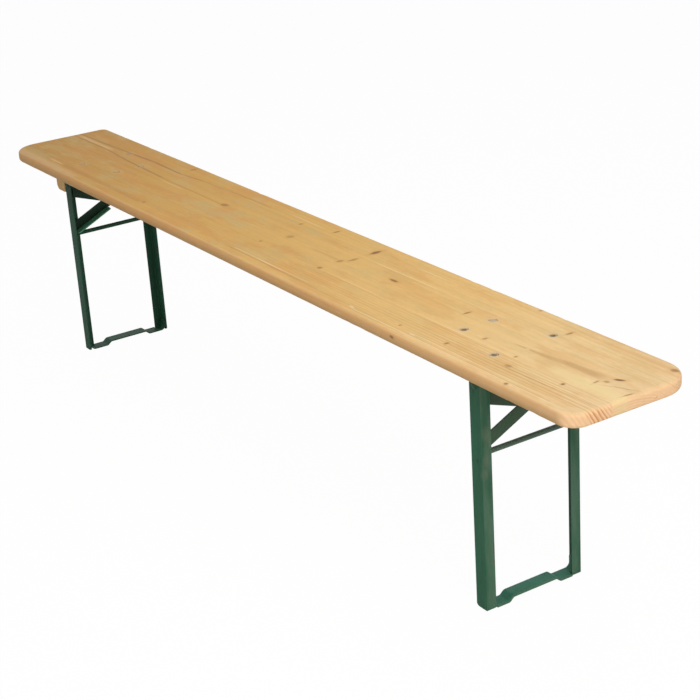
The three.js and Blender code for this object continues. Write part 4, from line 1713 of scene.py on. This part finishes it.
class WeldBead(ShapeGraph):
    """A tree that lays a rippled weld bead along each line of a host."""

    def __init__(self) -> None:
        """Build the tree."""
        super().__init__("weld_bead", "radius", "ripple", "step")
        line = self.node("GeometryNodeMeshToCurve", inputs={"Mesh": self.geometry()})
        inputs = {"Curve": line.outputs[0], "Length": self.size("step")}
        even = self.node("GeometryNodeResampleCurve", {"mode": "LENGTH"}, inputs)
        spline = self.node("GeometryNodeSplineParameter")
        travel, share = (Signal(self, spline.outputs[name]) for name in ("Length", "Factor"))
        wave = abs(self.math("SINE", travel / self.size("ripple") * math.pi))
        lumps = self.noise(self.value("GeometryNodeInputPosition"), scale=160, detail=2)
        ends = self.step(share, -0.02, 0.06) * self.fall(share, 0.94, 1.02)
        swell = (0.7 + 0.18 * wave + 0.35 * lumps) * (0.35 + 0.65 * ends)
        inputs = {"Resolution": 10, "Radius": self.size("radius")}
        ring = self.node("GeometryNodeCurvePrimitiveCircle", inputs=inputs)
        inputs = {"Curve": even.outputs[0], "Profile Curve": ring.outputs[0], "Scale": swell}
        inputs["Fill Caps"] = True
        self.close(self.node("GeometryNodeCurveToMesh", inputs=inputs).outputs[0])


@dataclass
class Hardware:
    """All the bolts, nuts and screws that are fixed to the seat.

    A bolt has its place and the height of its tail; a row of screws has its x, its two y, the
    height of their heads' faces and their length.
    """

    zinc: Coat
    bolts: tuple[tuple[str, Point2, float], ...] = (
        ("hinge", (0.818, 0.065), 0.443),
        ("rail", (0.691, 0.0325), 0.4435),
    )
    bolt_top: float = 0.4797
    bolt_head_radius: float = 0.008
    bolt_head_height: float = 0.0024
    bolt_radius: float = 0.003
    nut_corner_radius: float = 0.00577
    nut_bore: float = 0.0031
    nut_height: float = 0.005
    nut_tail: float = 0.002
    screws: tuple[tuple[str, float, Point2, float, float], ...] = (
        ("rail", 0.6002, (-0.016, 0.016), 0.4502, 0.0175),
        ("batten", 0.8558, (-0.048, 0.082), 0.4247, 0.0415),
    )
    screw_head_radius: float = 0.0042
    screw_head_height: float = 0.0022
    screw_radius: float = 0.002
    recess_half_length: float = 0.0024
    recess_half_width: float = 0.00045
    recess_span: Point2 = (-0.004, -0.0009)

    def make(self) -> None:
        """Build each kind of fastener at both ends as one piece."""
        self._bolts_and_nuts()
        self._wood_screws()

    def _bolts_and_nuts(self) -> None:
        """The carriage bolts through the seat and the nuts on their tails."""
        bolt_tree, nut_tree = TurnedFastener("carriage_bolt", CARRIAGE_BOLT), HexNut()
        for label, (x, y), tail in self.bolts:
            spots = [(end.sign * x, side.sign * y) for side in Side for end in End]
            bolts = bolt_tree.bake(
                f"{label}_carriage_bolts",
                Part.points(((*spot, tail), UP) for spot in spots),
                self.zinc,
                head_radius=self.bolt_head_radius,
                head_height=self.bolt_head_height,
                shank_radius=self.bolt_radius,
                length=self.bolt_top - self.bolt_head_height - tail,
            )
            bolts.fit("seat", self._nodes(f"{label}_bolt"), self.zinc)
            middle = tail + self.nut_tail + self.nut_height / 2
            nuts = nut_tree.bake(
                f"{label}_nuts",
                Part.points(((*spot, middle), UP) for spot in spots),
                self.zinc,
                corner_radius=self.nut_corner_radius,
                height=self.nut_height,
                bore=self.nut_bore,
            )
            nuts.fit("seat", self._nodes(f"{label}_nut"), self.zinc)

    def _wood_screws(self) -> None:
        """The screws from below, with a cross recess in each head."""
        screw_tree = TurnedFastener("wood_screw", WOOD_SCREW)
        for label, x, rows, face, length in self.screws:
            spots = [(end.sign * x, end.sign * y) for y in rows for end in End]
            screws = screw_tree.bake(
                f"{label}_wood_screws",
                Part.points(((*spot, face + length), DOWN) for spot in spots),
                self.zinc,
                head_radius=self.screw_head_radius,
                head_height=self.screw_head_height,
                shank_radius=self.screw_radius,
                length=length,
            )
            for spot in spots:
                screws.combine(Combine.CUT, self._recess(*spot, face))
            screws.fit("seat", self._nodes(f"{label}_screw"), self.zinc)

    def _nodes(self, kind: str) -> list[str]:
        """Names of the CAD nodes of one kind on both sides and at both ends."""
        return [f"{kind}_{side.label}_{end.letter}" for side in Side for end in End]

    def _recess(self, x: float, y: float, face: float) -> Part:
        """Make the cutter of a screw head's cross recess.

        Args:
            x: Place of the screw.
            y: Place of the screw.
            face: Height of its head's face.

        Returns:
            Two crossed slots.
        """
        low, high = (face + depth for depth in self.recess_span)
        long, short = self.recess_half_length, self.recess_half_width
        slots = [
            Part.box("slot", (x - a, y - b, low), (x + a, y + b, high))
            for a, b in ((long, short), (short, long))
        ]
        return slots[0].combine(Combine.JOIN, slots[1])


# Steel work


@dataclass
class EndAssembly:
    """Pieces at one end of the bench that one body carries."""

    end: End
    paint: Coat

    @property
    def body(self) -> str:
        """CAD body that carries the pieces."""
        return "seat"

    def _fit(self, part: Part, node: str, work: str, coat: Coat | None = None) -> None:
        """Turn a piece over to its end and fit it in place of its CAD node.

        Args:
            part: The piece, made for the first end.
            node: Name of its CAD node without the end's letter.
            work: How the piece is worked, which ends its own name.
            coat: Its finish, if it isn't the frame's paint.
        """
        name = f"{node}_{self.end.letter}"
        part.half_turn(self.end).rename(f"{name}_{work}")
        part.fit(self.body, [name], coat or self.paint)

    def _fit_node(
        self, node: str, work: str, bevel: float = STEEL_BEVEL, coat: Coat | None = None
    ) -> None:
        """Fit a CAD node's own mesh with its edges softened.

        Args:
            node: Name of the CAD node without the end's letter.
            work: How the piece is worked, which ends its own name.
            bevel: Width of the softened edges.
            coat: Its finish, if it isn't the frame's paint.
        """
        name = f"{node}_{self.end.letter}"
        part = Part.from_node(f"{name}_{work}", name).soften(bevel)
        part.fit(self.body, [name], coat or self.paint)


@dataclass
class SeatFittings(EndAssembly):
    """What is fixed under the seat at one end: hinge plate, guide rail, snap spring and batten."""

    timber: Coat
    spring: Coat
    under: float = 0.453
    pivot: Point2 = (0.818, 0.436)
    plate_thickness: float = 0.003
    plate_half_depth: float = 0.013
    ear_face: float = 0.1064
    ear_radius: float = 0.011
    ear_shoulder: float = 0.0005
    pin_bore: float = 0.0043
    bolt_y: float = 0.065
    bolt_bore: float = 0.0033
    cutter_reach: float = 0.01
    bend_radius: float = 0.0035
    inner_bend_radius: float = 0.0015
    spring_bevel: float = 0.0002
    batten_x: Point2 = (0.8333, 0.8783)
    batten_y: Point2 = (-0.078, 0.112)
    batten_bottom: float = 0.415
    batten_nose: float = 0.014
    batten_edge: float = 0.003
    batten_bevel: float = 0.0008
    batten_steps: int = 12
    batten_screws: Point2 = (-0.048, 0.082)
    counterbore: Point2 = (0.0045, 0.010)
    counterbore_break: float = 0.0006
    screw_hole: Point2 = (0.0023, 0.040)

    def make(self) -> None:
        """Build the fittings of this end."""
        self._fit(self._hinge_plate(), "hinge_plate", "bent")
        self._fit_node("guide_rail", "pressed")
        self._fit_node("snap_spring", "leaf", self.spring_bevel, self.spring)
        self._fit(self._batten(), "end_batten", "planed", self.timber)

    def _hinge_plate(self) -> Part:
        """Bend a strip across the seat down into an ear at each end.

        Returns:
            The plate.
        """
        face, thick, bend = self.ear_face, self.plate_thickness, self.inner_bend_radius
        (x, z), wide, ear = self.pivot, self.plate_half_depth, self.ear_radius
        low, inner, floor = z - ear, face - thick, self.under - thick
        corners = [(-face, low, 0), (-face, self.under, self.bend_radius)]
        corners += [(face, self.under, self.bend_radius), (face, low, 0), (inner, low, 0)]
        corners += [(inner, floor, bend), (-inner, floor, bend), (-inner, low, 0)]
        strip = Part.prism("plate", rounded(corners), Plane.YZ, x - wide, x + wide)
        shoulder, above = floor - self.ear_shoulder, self.under + OVERRUN
        outline = [(x + wide, above), (x - wide, above), (x - wide, shoulder)]
        outline += [(x - ear, shoulder), *arc((x, z), ear, 180, 360, 20)]
        outline += [(x + ear, shoulder), (x + wide, shoulder)]
        reach = face + OVERRUN
        strip.combine(Combine.KEEP, Part.prism("side", outline, Plane.XZ, -reach, reach))
        bore, high = self.bolt_bore, self.cutter_reach
        bolt = [(0, -OVERRUN), (bore, -OVERRUN), (bore, high), (0, high)]
        holes = [Part.turned("hole", bolt, (x, side.sign * self.bolt_y, floor)) for side in Side]
        strip.combine(Combine.CUT, Part.bore(x, z, self.pin_bore, reach), *holes)
        return strip.soften(STEEL_BEVEL)

    def _batten(self) -> Part:
        """Plane a block with a rounded nose and bore it for its two screws.

        Returns:
            The block.
        """
        (x0, x1), (y0, y1) = self.batten_x, self.batten_y
        low, high = self.batten_bottom, self.under
        corners = [(x0, low, self.batten_edge), (x1, low, self.batten_nose)]
        corners += [(x1, high, 0), (x0, high, 0)]
        outline = rounded(corners, self.batten_steps)
        block = Part.prism("batten", outline, Plane.XZ, y0, y1).soften(self.batten_bevel)
        (wide, depth), (narrow, end) = self.counterbore, self.screw_hole
        lip = self.counterbore_break
        profile = [(0, -OVERRUN), (wide + lip, -OVERRUN), (wide, lip), (wide, depth)]
        profile += [(narrow, depth), (narrow, end), (0, end)]
        for y in self.batten_screws:
            cutter = Part.turned("counterbore", profile, ((x0 + x1) / 2, y, low))
            block.combine(Combine.CUT, cutter)
        return block


@dataclass
class LegFrame(EndAssembly):
    """The folding frame of one end, welded of angle steel, strip and rod."""

    zinc: Coat
    coats: dict[str, Coat]
    x: float = 0.833
    y: float = 0.110
    side_flange: float = 0.030
    end_flange: float = 0.022
    steel: float = 0.003
    root: float = 0.002
    toe: float = 0.0012
    heel: float = 0.0009
    heel_round: float = 0.008
    pivot: Point2 = (0.818, 0.436)
    pin_bore: float = 0.0043
    pin_radius: float = 0.004
    pin_head_radius: float = 0.007
    pin_start: float = 0.1031
    foot_width: float = 0.030
    foot_overhang: float = 0.003
    foot_rise: float = 0.008
    foot_pad: float = 0.062
    foot_joggle: float = 0.014
    foot_joggle_steps: int = 16
    foot_bend: float = 0.012
    foot_upturn: float = 0.026
    foot_bevel: float = 0.0006
    rod_radius: float = 0.005
    rod_lip: float = 0.0006
    rod_height: float = 0.307
    brace_width: float = 0.025
    angle_rise: Point2 = (0.327, 0.418)
    flat_rise: Point2 = (0.3465, 0.413)
    brace_inset: float = 0.012
    brace_flange: float = 0.022
    brace_bevel: float = 0.0005
    stay_room: float = 0.0085
    stay_pivot: Point2 = (0.811, 0.373)
    stay_pin_radius: float = 0.0035
    stay_pin_head_radius: float = 0.0056
    stay_pin_half: float = 0.0057
    rivet_head_height: float = 0.0022
    weld_radius: float = 0.0022
    weld_ripple: float = 0.0035
    weld_step: float = 0.0009
    weld_sink: float = 0.0008
    weld_inset: float = 0.002
    foot_weld_low: float = 0.006
    foot_weld_end: float = 0.004

    @property
    def body(self) -> str:
        """CAD body that carries the frame."""
        return f"leg_{self.end.letter}"

    def make(self) -> None:
        """Build the frame and fit it to its own body."""
        for side in Side:
            self._fit_painted(self._upright(side), f"upright_{side.label}", "upright")
        self._fit_painted(self._foot_strip(), "foot_strip", "foot")
        self._fit_painted(self._rod(), "cross_rod", "rod")
        self._fit_painted(self._angle_brace(), "brace_angle", "brace")
        self._fit_painted(self._flat_brace(), "brace_flat", "flat")
        self._fit_node("stay_clevis", "bent")
        self._rivets()
        self._weld_beads()

    def _fit_painted(self, part: Part, node: str, kind: str) -> None:
        """Fit one piece of the frame in its own kind of paint, if it has one."""
        self._fit(part, node, "painted", self.coats.get(kind))

    def _upright(self, side: Side) -> Part:
        """Cut an upright of rolled angle round at the hinge and at the heel of its foot.

        Args:
            side: Side of the frame that it is on.

        Returns:
            The upright.
        """
        x, thick = self.x, self.steel
        inner, back = x - thick, x - self.side_flange
        outer, web, edge = (side.sign * (self.y - depth) for depth in (0, thick, self.end_flange))
        corners = [(x, outer, self.heel), (x, edge, self.toe), (inner, edge, self.toe)]
        corners += [(inner, web, self.root), (back, web, self.toe), (back, outer, self.toe)]
        px, pz = self.pivot
        radius, reach = self.side_flange / 2, self.y + OVERRUN
        bar = Part.prism("upright", rounded(corners, 5), Plane.XY, 0, pz + radius)
        heel = (back + self.heel_round, self.heel_round)
        outline = [(x, 0), *arc(self.pivot, radius, 0, 180, 28)]
        outline += arc(heel, self.heel_round, 180, 270, 10)
        bar.combine(Combine.KEEP, Part.prism("view", outline, Plane.XZ, -reach, reach))
        bar.combine(Combine.CUT, Part.bore(px, pz, self.pin_bore, reach))
        return bar.soften(STEEL_BEVEL)

    def _foot_line(self) -> list[Vector]:
        """Lay the middle line of the foot strip.

        Returns:
            Points from one upturned end to the other.
        """
        mid = self.steel / 2
        side = self.y - self.steel - mid
        half = [(0.0, mid + self.foot_rise)]
        for i in range(self.foot_joggle_steps + 1):
            share = i / self.foot_joggle_steps
            rise = self.foot_rise * (1 + math.cos(math.pi * share)) / 2
            half.append((self.foot_pad - self.foot_joggle * (1 - share), mid + rise))
        bend = (side - self.foot_bend, mid + self.foot_bend)
        half += [*arc(bend, self.foot_bend, -90, 0, 12), (side, self.foot_upturn)]
        left = [(-y, z) for y, z in half[:0:-1]]
        return [Vector(point) for point in left + half]

    def _foot_strip(self) -> Part:
        """Bend the foot strip up at its ends and in its middle, and notch its corners.

        Returns:
            The strip.
        """
        line = self._foot_line()
        runs = [(b - a).normalized() for a, b in zip(line, line[1:])]
        upper, lower = [], []
        for i, point in enumerate(line):
            after = runs[min(i, len(runs) - 1)]
            way = (runs[max(i - 1, 0)] + after).normalized()
            across = Vector((-way.y, way.x)) * (self.steel / 2 / way.dot(after))
            upper.append(tuple(point + across))
            lower.append(tuple(point - across))
        outer = self.x + self.foot_overhang
        outline = lower + upper[::-1]
        strip = Part.prism("foot", outline, Plane.YZ, outer - self.foot_width, outer)
        gap = self.x - self.steel - self.root
        edge = self.y - self.end_flange - CLEARANCE
        for side in Side:
            near, far = sorted((side.sign * edge, side.sign * (self.y + OVERRUN)))
            high = (outer + OVERRUN, far, self.foot_upturn + OVERRUN)
            strip.combine(Combine.CUT, Part.box("notch", (gap, near, -OVERRUN), high))
        return strip.soften(self.foot_bevel)

    @property
    def _rod_x(self) -> float:
        """Place of the rod's axis, against the end flanges."""
        return self.x - self.steel - self.root / 2 - self.rod_radius

    def _rod(self) -> Part:
        """Turn the round rod between the side flanges.

        Returns:
            The rod.
        """
        half = self.y - self.steel - CLEARANCE
        radius, lip = self.rod_radius, self.rod_lip
        profile = [(0, -half), (radius - lip, -half), (radius, -half + lip)]
        profile += [(radius, half - lip), (radius - lip, half), (0, half)]
        return Part.turned("rod", profile, (self._rod_x, 0, self.rod_height), ALONG_Y, 40)

    def _brace_line(self, rise: Point2, sign: int, low_inset: float, depth: float) -> list[Point2]:
        """Outline of a brace in the frame's plane.

        Args:
            rise: Middle height of the brace at its two ends.
            sign: Side of its high end along Y in the bench's frame, the same at both ends.
            low_inset: How far its low end stays from the upright.
            depth: Width of the outline, from its lower edge.

        Returns:
            The four corners, low end first.
        """
        side = sign * self.end.sign
        inner = self.y - self.steel
        low, high = low_inset - inner, inner - self.brace_inset
        slope = (rise[1] - rise[0]) / (2 * high)
        stretch = math.hypot(1, slope)
        base = sum(rise) / 2 - self.brace_width / 2 * stretch
        lift = depth * stretch
        outline = [(low, base + slope * low), (high, base + slope * high)]
        outline += [(high, base + slope * high + lift), (low, base + slope * low + lift)]
        return [(side * y, z) for y, z in outline]

    def _angle_brace(self) -> Part:
        """Build the angle steel brace, cut away for the stay and for the rod.

        Returns:
            The brace.
        """
        face = self.x - 2 * self.steel
        web_x, toe = face - self.steel, face - self.brace_flange
        line = self._brace_line(self.angle_rise, 1, 0, self.brace_width)
        web = Part.prism("brace", line, Plane.YZ, web_x, face)
        line = self._brace_line(self.angle_rise, 1, 0, self.steel)
        web.combine(Combine.JOIN, Part.prism("flange", line, Plane.YZ, toe, face))
        middle, room, wide = sum(self.angle_rise) / 2, self.stay_room, self.brace_width
        low = (toe - OVERRUN, -room, middle - wide)
        notch = Part.box("notch", low, (web_x, room, middle + wide))
        top = self.rod_height + self.rod_radius + CLEARANCE
        low = (self.x - self.side_flange, -self.y, 0)
        rod_room = Part.box("rod_room", low, (self.x, self.y, top))
        return web.combine(Combine.CUT, notch, rod_room).soften(self.brace_bevel)

    def _flat_brace(self) -> Part:
        """Build the flat brace that crosses outside the other one.

        Returns:
            The brace.
        """
        outline = self._brace_line(self.flat_rise, -1, self.root, self.brace_width)
        face = self.x - self.steel
        bar = Part.prism("brace", outline, Plane.YZ, face - self.steel, face)
        return bar.soften(self.brace_bevel)

    def _rivets(self) -> None:
        """Fold pins with a domed head at both ends, and the stay's own rivet."""
        letter, head = self.end.letter, self.rivet_head_height
        tree = TurnedFastener("rivet", RIVET)
        x, z = self.pivot
        start = self.pin_start - head
        pins = tree.bake(
            f"hinge_rivets_{letter}",
            Part.points(((x, side.sign * start, z), (0, side.sign, 0)) for side in Side),
            self.paint,
            head_radius=self.pin_head_radius,
            head_height=2 * head,
            shank_radius=self.pin_radius,
            length=self.y + CLEARANCE - self.pin_start,
        )
        nodes = [f"hinge_rivet_{side.label}_{letter}" for side in Side]
        pins.half_turn(self.end).fit(self.body, nodes, self.paint)
        x, z = self.stay_pivot
        knee = tree.bake(
            "stay_rivet",
            Part.points([((x, -self.stay_pin_half - head, z), ALONG_Y)]),
            self.zinc,
            head_radius=self.stay_pin_head_radius,
            head_height=2 * head,
            shank_radius=self.stay_pin_radius,
            length=2 * self.stay_pin_half,
        )
        self._fit(knee, "stay_rivet", "domed", self.zinc)

    def _weld_beads(self) -> None:
        """Welds of the foot strip, the rod and the braces to the uprights."""
        beads = WeldBead().bake(
            f"weld_beads_{self.end.letter}",
            Part.lines(self._foot_and_rod_welds() + self._brace_welds()),
            self.paint,
            radius=self.weld_radius,
            ripple=self.weld_ripple,
            step=self.weld_step,
        )
        beads.half_turn(self.end).fit(self.body, [], self.paint)

    def _foot_and_rod_welds(self) -> list[list[Point3]]:
        """Lay the welds at both ends of the foot strip and of the rod.

        Returns:
            Points of each line.
        """
        lines = []
        inset, top = self.weld_inset, self.foot_upturn
        inner, back = self.y - self.steel, self.x - self.steel
        edge = self.x + self.foot_overhang - self.foot_width
        for sign in (-1, 1):
            y, strip_y = sign * inner, sign * (inner - self.steel / 2)
            lines.append([(edge, y, self.foot_weld_low), (edge, y, top - inset)])
            start, end = edge + inset, back - self.foot_weld_end
            lines.append([(start, strip_y, top), (end, strip_y, top)])
            ring = arc((self._rod_x, self.rod_height), self.rod_radius, 150, 420, 18)
            lines.append([(x, sign * (inner - self.weld_sink), z) for x, z in ring])
        return lines

    def _brace_welds(self) -> list[list[Point3]]:
        """Lay the welds at the low ends of both braces.

        Returns:
            Points of each line.
        """
        lines = []
        face = self.x - 2 * self.steel
        inner = self.y - self.steel - 2 * CLEARANCE
        for rise, sign, x in ((self.angle_rise, 1, face - self.steel), (self.flat_rise, -1, face)):
            (y, low), *_, (_, high) = self._brace_line(rise, sign, 0, self.brace_width)
            base = max(low, self.rod_height + self.rod_radius) + self.weld_inset
            side = math.copysign(inner, y)
            lines.append([(x, side, base), (x, side, high - self.weld_inset)])
        return lines


@dataclass
class LockingStay(EndAssembly):
    """The stay that holds one frame open, with the pin that runs in the guide rail."""

    zinc: Coat
    knee: Point2 = (0.811, 0.373)
    lock: Point2 = (0.671, 0.440)
    height: float = 0.013
    thickness: float = 0.005
    bevel: float = 0.0006
    knee_bore: float = 0.0038
    pin_bore: float = 0.0043
    pin_radius: float = 0.004
    pin_head_radius: float = 0.006
    pin_head_height: float = 0.0022
    pin_span: Point2 = (0.0055, -0.0061)

    @property
    def body(self) -> str:
        """CAD body that carries the stay."""
        return f"stay_{self.end.letter}"

    def make(self) -> None:
        """Build the bar and its guide pin."""
        (kx, kz), (lx, lz) = self.knee, self.lock
        heading = math.degrees(math.atan2(lz - kz, lx - kx))
        radius, half = self.height / 2, self.thickness / 2
        outline = arc(self.lock, radius, heading - 90, heading + 90, 16)
        outline += arc(self.knee, radius, heading + 90, heading + 270, 16)
        bar = Part.prism("bar", outline, Plane.XZ, -half, half)
        for centre, bore in ((self.knee, self.knee_bore), (self.lock, self.pin_bore)):
            bar.combine(Combine.CUT, Part.bore(*centre, bore, 2 * self.thickness))
        self._fit(bar.soften(self.bevel), "stay_bar", "painted")
        flush, face = self.pin_span
        pin = TurnedFastener("guide_pin", GUIDE_PIN).bake(
            "pin",
            Part.points([((lx, flush, lz), (0, -1, 0))]),
            self.zinc,
            head_radius=self.pin_head_radius,
            head_height=self.pin_head_height,
            shank_radius=self.pin_radius,
            length=flush - face,
        )
        self._fit(pin, "guide_pin", "turned", self.zinc)


# The studio


@dataclass
class Studio:
    """Camera, lamps, sky and floor."""

    lens: float = 86.566
    place: Point3 = (2.921226, -1.678600, 1.583271)
    right: Point3 = (0.55287087, 0.83106251, -0.06057153)
    down: Point3 = (0.28421283, -0.25640829, -0.92383865)
    ahead: Point3 = (-0.78329871, 0.49354827, -0.3779593)
    sky: float = 0.35
    floor_glow: float = 0.97
    floor_size: float = 60.0
    floor_drop: float = 0.0004

    def make(self) -> None:
        """Set up everything round the bench."""
        self._camera()
        self._sky()
        self._floor()
        self._lamp("key", (3.0, -0.7, 2.6), (0.7, 0.0, 0.3), 1.6, 60.0)
        self._lamp("front", (0.7, -3.4, 2.1), (0.2, 0.0, 0.4), 2.6, 20.0)
        self._lamp("top", (0.3, 0.5, 3.0), (0.1, 0.0, 0.4), 2.8, 27.0)

    def _camera(self) -> None:
        """Put the camera where the photograph was taken from."""
        data = bpy.data.cameras.new("camera")
        data.sensor_width = 36.0
        data.lens = self.lens
        data.clip_end = 200.0
        camera = bpy.data.objects.new("camera", data)
        axes = (Vector(self.right), -Vector(self.down), -Vector(self.ahead))
        camera.matrix_world = Matrix.Translation(self.place) @ Matrix(axes).transposed().to_4x4()
        bpy.context.scene.collection.objects.link(camera)
        bpy.context.scene.camera = camera

    def _seen(self, graph: NodeGraph) -> Signal:
        """Tell rays that show the background from light that falls on the bench.

        Args:
            graph: Tree to work in.

        Returns:
            1 for the rays and 0 for the light.
        """
        path = graph.node("ShaderNodeLightPath")
        kinds = ("Is Camera Ray", "Is Glossy Ray", "Is Transmission Ray")
        return graph.highest(*(Signal(graph, path.outputs[kind]) for kind in kinds))

    def _sky(self) -> None:
        """A white surround that lights the bench softly."""
        world = bpy.data.worlds.new("surround")
        world.use_nodes = True
        graph = NodeGraph(world.node_tree)
        strength = self.sky + (1 - self.sky) * self._seen(graph)
        glow = graph.node("ShaderNodeBackground", inputs={"Color": (1, 1, 1), "Strength": strength})
        graph.node("ShaderNodeOutputWorld", inputs={"Surface": glow.outputs[0]})
        bpy.context.scene.world = world

    def _floor(self) -> None:
        """A pale floor that keeps a faint shadow of the bench."""
        form = bmesh.new()
        bmesh.ops.create_grid(form, x_segments=1, y_segments=1, size=self.floor_size / 2)
        floor = Part("floor", form)
        floor.piece.data.transform(Matrix.Translation((0, 0, -self.floor_drop)))
        material = bpy.data.materials.new("floor_white")
        material.use_nodes = True
        graph = NodeGraph(material.node_tree)
        matt = graph.node("ShaderNodeBsdfDiffuse", inputs={"Color": (0.9, 0.9, 0.9)})
        glow = graph.node("ShaderNodeEmission", inputs={"Color": (1, 1, 1)})
        path = graph.node("ShaderNodeLightPath")
        share = Signal(graph, path.outputs["Is Camera Ray"]) * self.floor_glow
        inputs = {0: share, 1: matt.outputs[0], 2: glow.outputs[0]}
        both = graph.node("ShaderNodeMixShader", inputs=inputs)
        graph.node("ShaderNodeOutputMaterial", inputs={"Surface": both.outputs[0]})
        floor.piece.data.materials.append(material)

    def _lamp(self, name: str, place: Point3, target: Point3, size: float, power: float) -> None:
        """Add one soft square lamp that faces a point.

        Args:
            name: Name of the lamp.
            place: Where it hangs.
            target: Point that it faces.
            size: Length of its side.
            power: Its power in watts.
        """
        data = bpy.data.lights.new(name, "AREA")
        data.shape = "SQUARE"
        data.size = size
        data.energy = power
        lamp = bpy.data.objects.new(name, data)
        aim = (Vector(target) - Vector(place)).to_track_quat("-Z", "Y")
        lamp.matrix_world = Matrix.Translation(place) @ aim.to_matrix().to_4x4()
        bpy.context.scene.collection.objects.link(lamp)


ZINC = MetalFinish(
    "zinc", paint(108, 96, 70), paint(70, 59, 38), 0.2, 0.5, film=paint(204, 186, 152)
)
SPRING_STEEL = MetalFinish("spring_steel", paint(100, 103, 106), paint(78, 76, 74), 0.8, 0.42)

BATTEN_PINE = PineFinish(
    "batten_pine",
    pith=(0.02, 0.50),
    ring=0.0034,
    seed=41.0,
    tones=((0.0, paint(196, 152, 100)), (1.0, paint(204, 162, 110))),
)

NEAR_PAINT = PaintFinish(
    "green_paint_a",
    # The first dark mark is painted shade in the gap by the hinge rivet; the second is a paint
    # speck.
    dots=((0.8155, -0.110, 0.4245, 0.0040), (0.8205, -0.110, 0.2940, 0.0038)),
    smudges=(
        (0.833, -0.0885, 0.3300, 0.010),
        (0.833, -0.1005, 0.3470, 0.012),
        (0.833, -0.1000, 0.2940, 0.011),
        (0.833, -0.1050, 0.2710, 0.010),
    ),
    specks=(
        (0.833, -0.0875, 0.126, 0.006),
        (0.833, -0.0885, 0.113, 0.005),
        (0.833, -0.0885, 0.095, 0.004),
    ),
)
# The far frame's paint: the same green made darker, painted shade for the frame under the far end
# of the seat.
SHADED_FAR_PAINT = PaintFinish(
    "green_paint_b",
    colour=paint(28, 70, 50),
    light=paint(37, 82, 60),
    dark=paint(20, 48, 34),
    weathered=paint(46, 82, 60),
    grime=paint(26, 44, 30),
    specks=((-0.833, 0.090, 0.210, 0.005),),
)

# What each kind of piece changes in the paint of its own end. The colours are lighter or
# darker copies of the one green paint, painted light and shade for how light falls on each
# piece; the foot's dust is real.
NEAR_LIT_AND_SHADED_KINDS = {
    "upright": {
        "colour": paint(22, 83, 56),
        "light": paint(38, 97, 70),
        "weathered": paint(82, 112, 90),
        "hollow": paint(16, 54, 38),
        "grime_share": 0.2,
        "fade_share": 0.75,
    },
    "brace": {
        "colour": paint(62, 90, 68),
        "light": paint(76, 100, 80),
        "dark": paint(42, 64, 46),
        "grime": paint(40, 54, 30),
    },
    "rod": {
        "colour": paint(84, 107, 94),
        "light": paint(98, 118, 105),
        "dark": paint(60, 84, 72),
    },
    "foot": {
        "colour": paint(43, 103, 84),
        "light": paint(58, 117, 98),
        "dark": paint(30, 80, 62),
        "dust": paint(104, 122, 106),
    },
}
FAR_LIT_AND_SHADED_KINDS = {
    # Painted light: the far brace is made lighter where its flange catches light from the floor,
    # and painted shade darkens the inner face of its web.
    "brace": {
        "colour": paint(78, 140, 112),
        "light": paint(90, 150, 122),
        "dark": paint(52, 102, 78),
        "grime": paint(62, 104, 80),
        "grime_share": 0.6,
        "hollow": paint(14, 44, 29),
        "hollow_axis": 0,
        "hollow_span": (0.8234, 0.8256),
    },
}


def main() -> None:
    """Build the bench piece by piece and set it in the studio."""
    logging.basicConfig(level=logging.INFO, format="%(name)s: %(message)s", stream=sys.stdout)
    bpy.context.scene.view_settings.view_transform = "Standard"
    zinc = Coat("zinc_fastener", ZINC.material())
    spring = Coat("spring_steel", SPRING_STEEL.material())
    timber = Coat("batten_pine", BATTEN_PINE.material())
    SeatBoard().make()
    Hardware(zinc).make()
    for end, finish, kinds in ((End.A, NEAR_PAINT, NEAR_LIT_AND_SHADED_KINDS), (End.B, SHADED_FAR_PAINT, FAR_LIT_AND_SHADED_KINDS)):
        green = Coat("green_paint", finish.material())
        coats = {}
        for kind, changes in kinds.items():
            own = replace(finish, name=f"{finish.name}_{kind}", **changes)
            coats[kind] = Coat("green_paint", own.material())
        if end is End.A:
            coats["flat"] = coats["brace"]
        SeatFittings(end, green, timber, spring).make()
        LegFrame(end, green, zinc, coats).make()
        LockingStay(end, green, zinc).make()
    Studio().make()


if __name__ == "__main__":
    main()
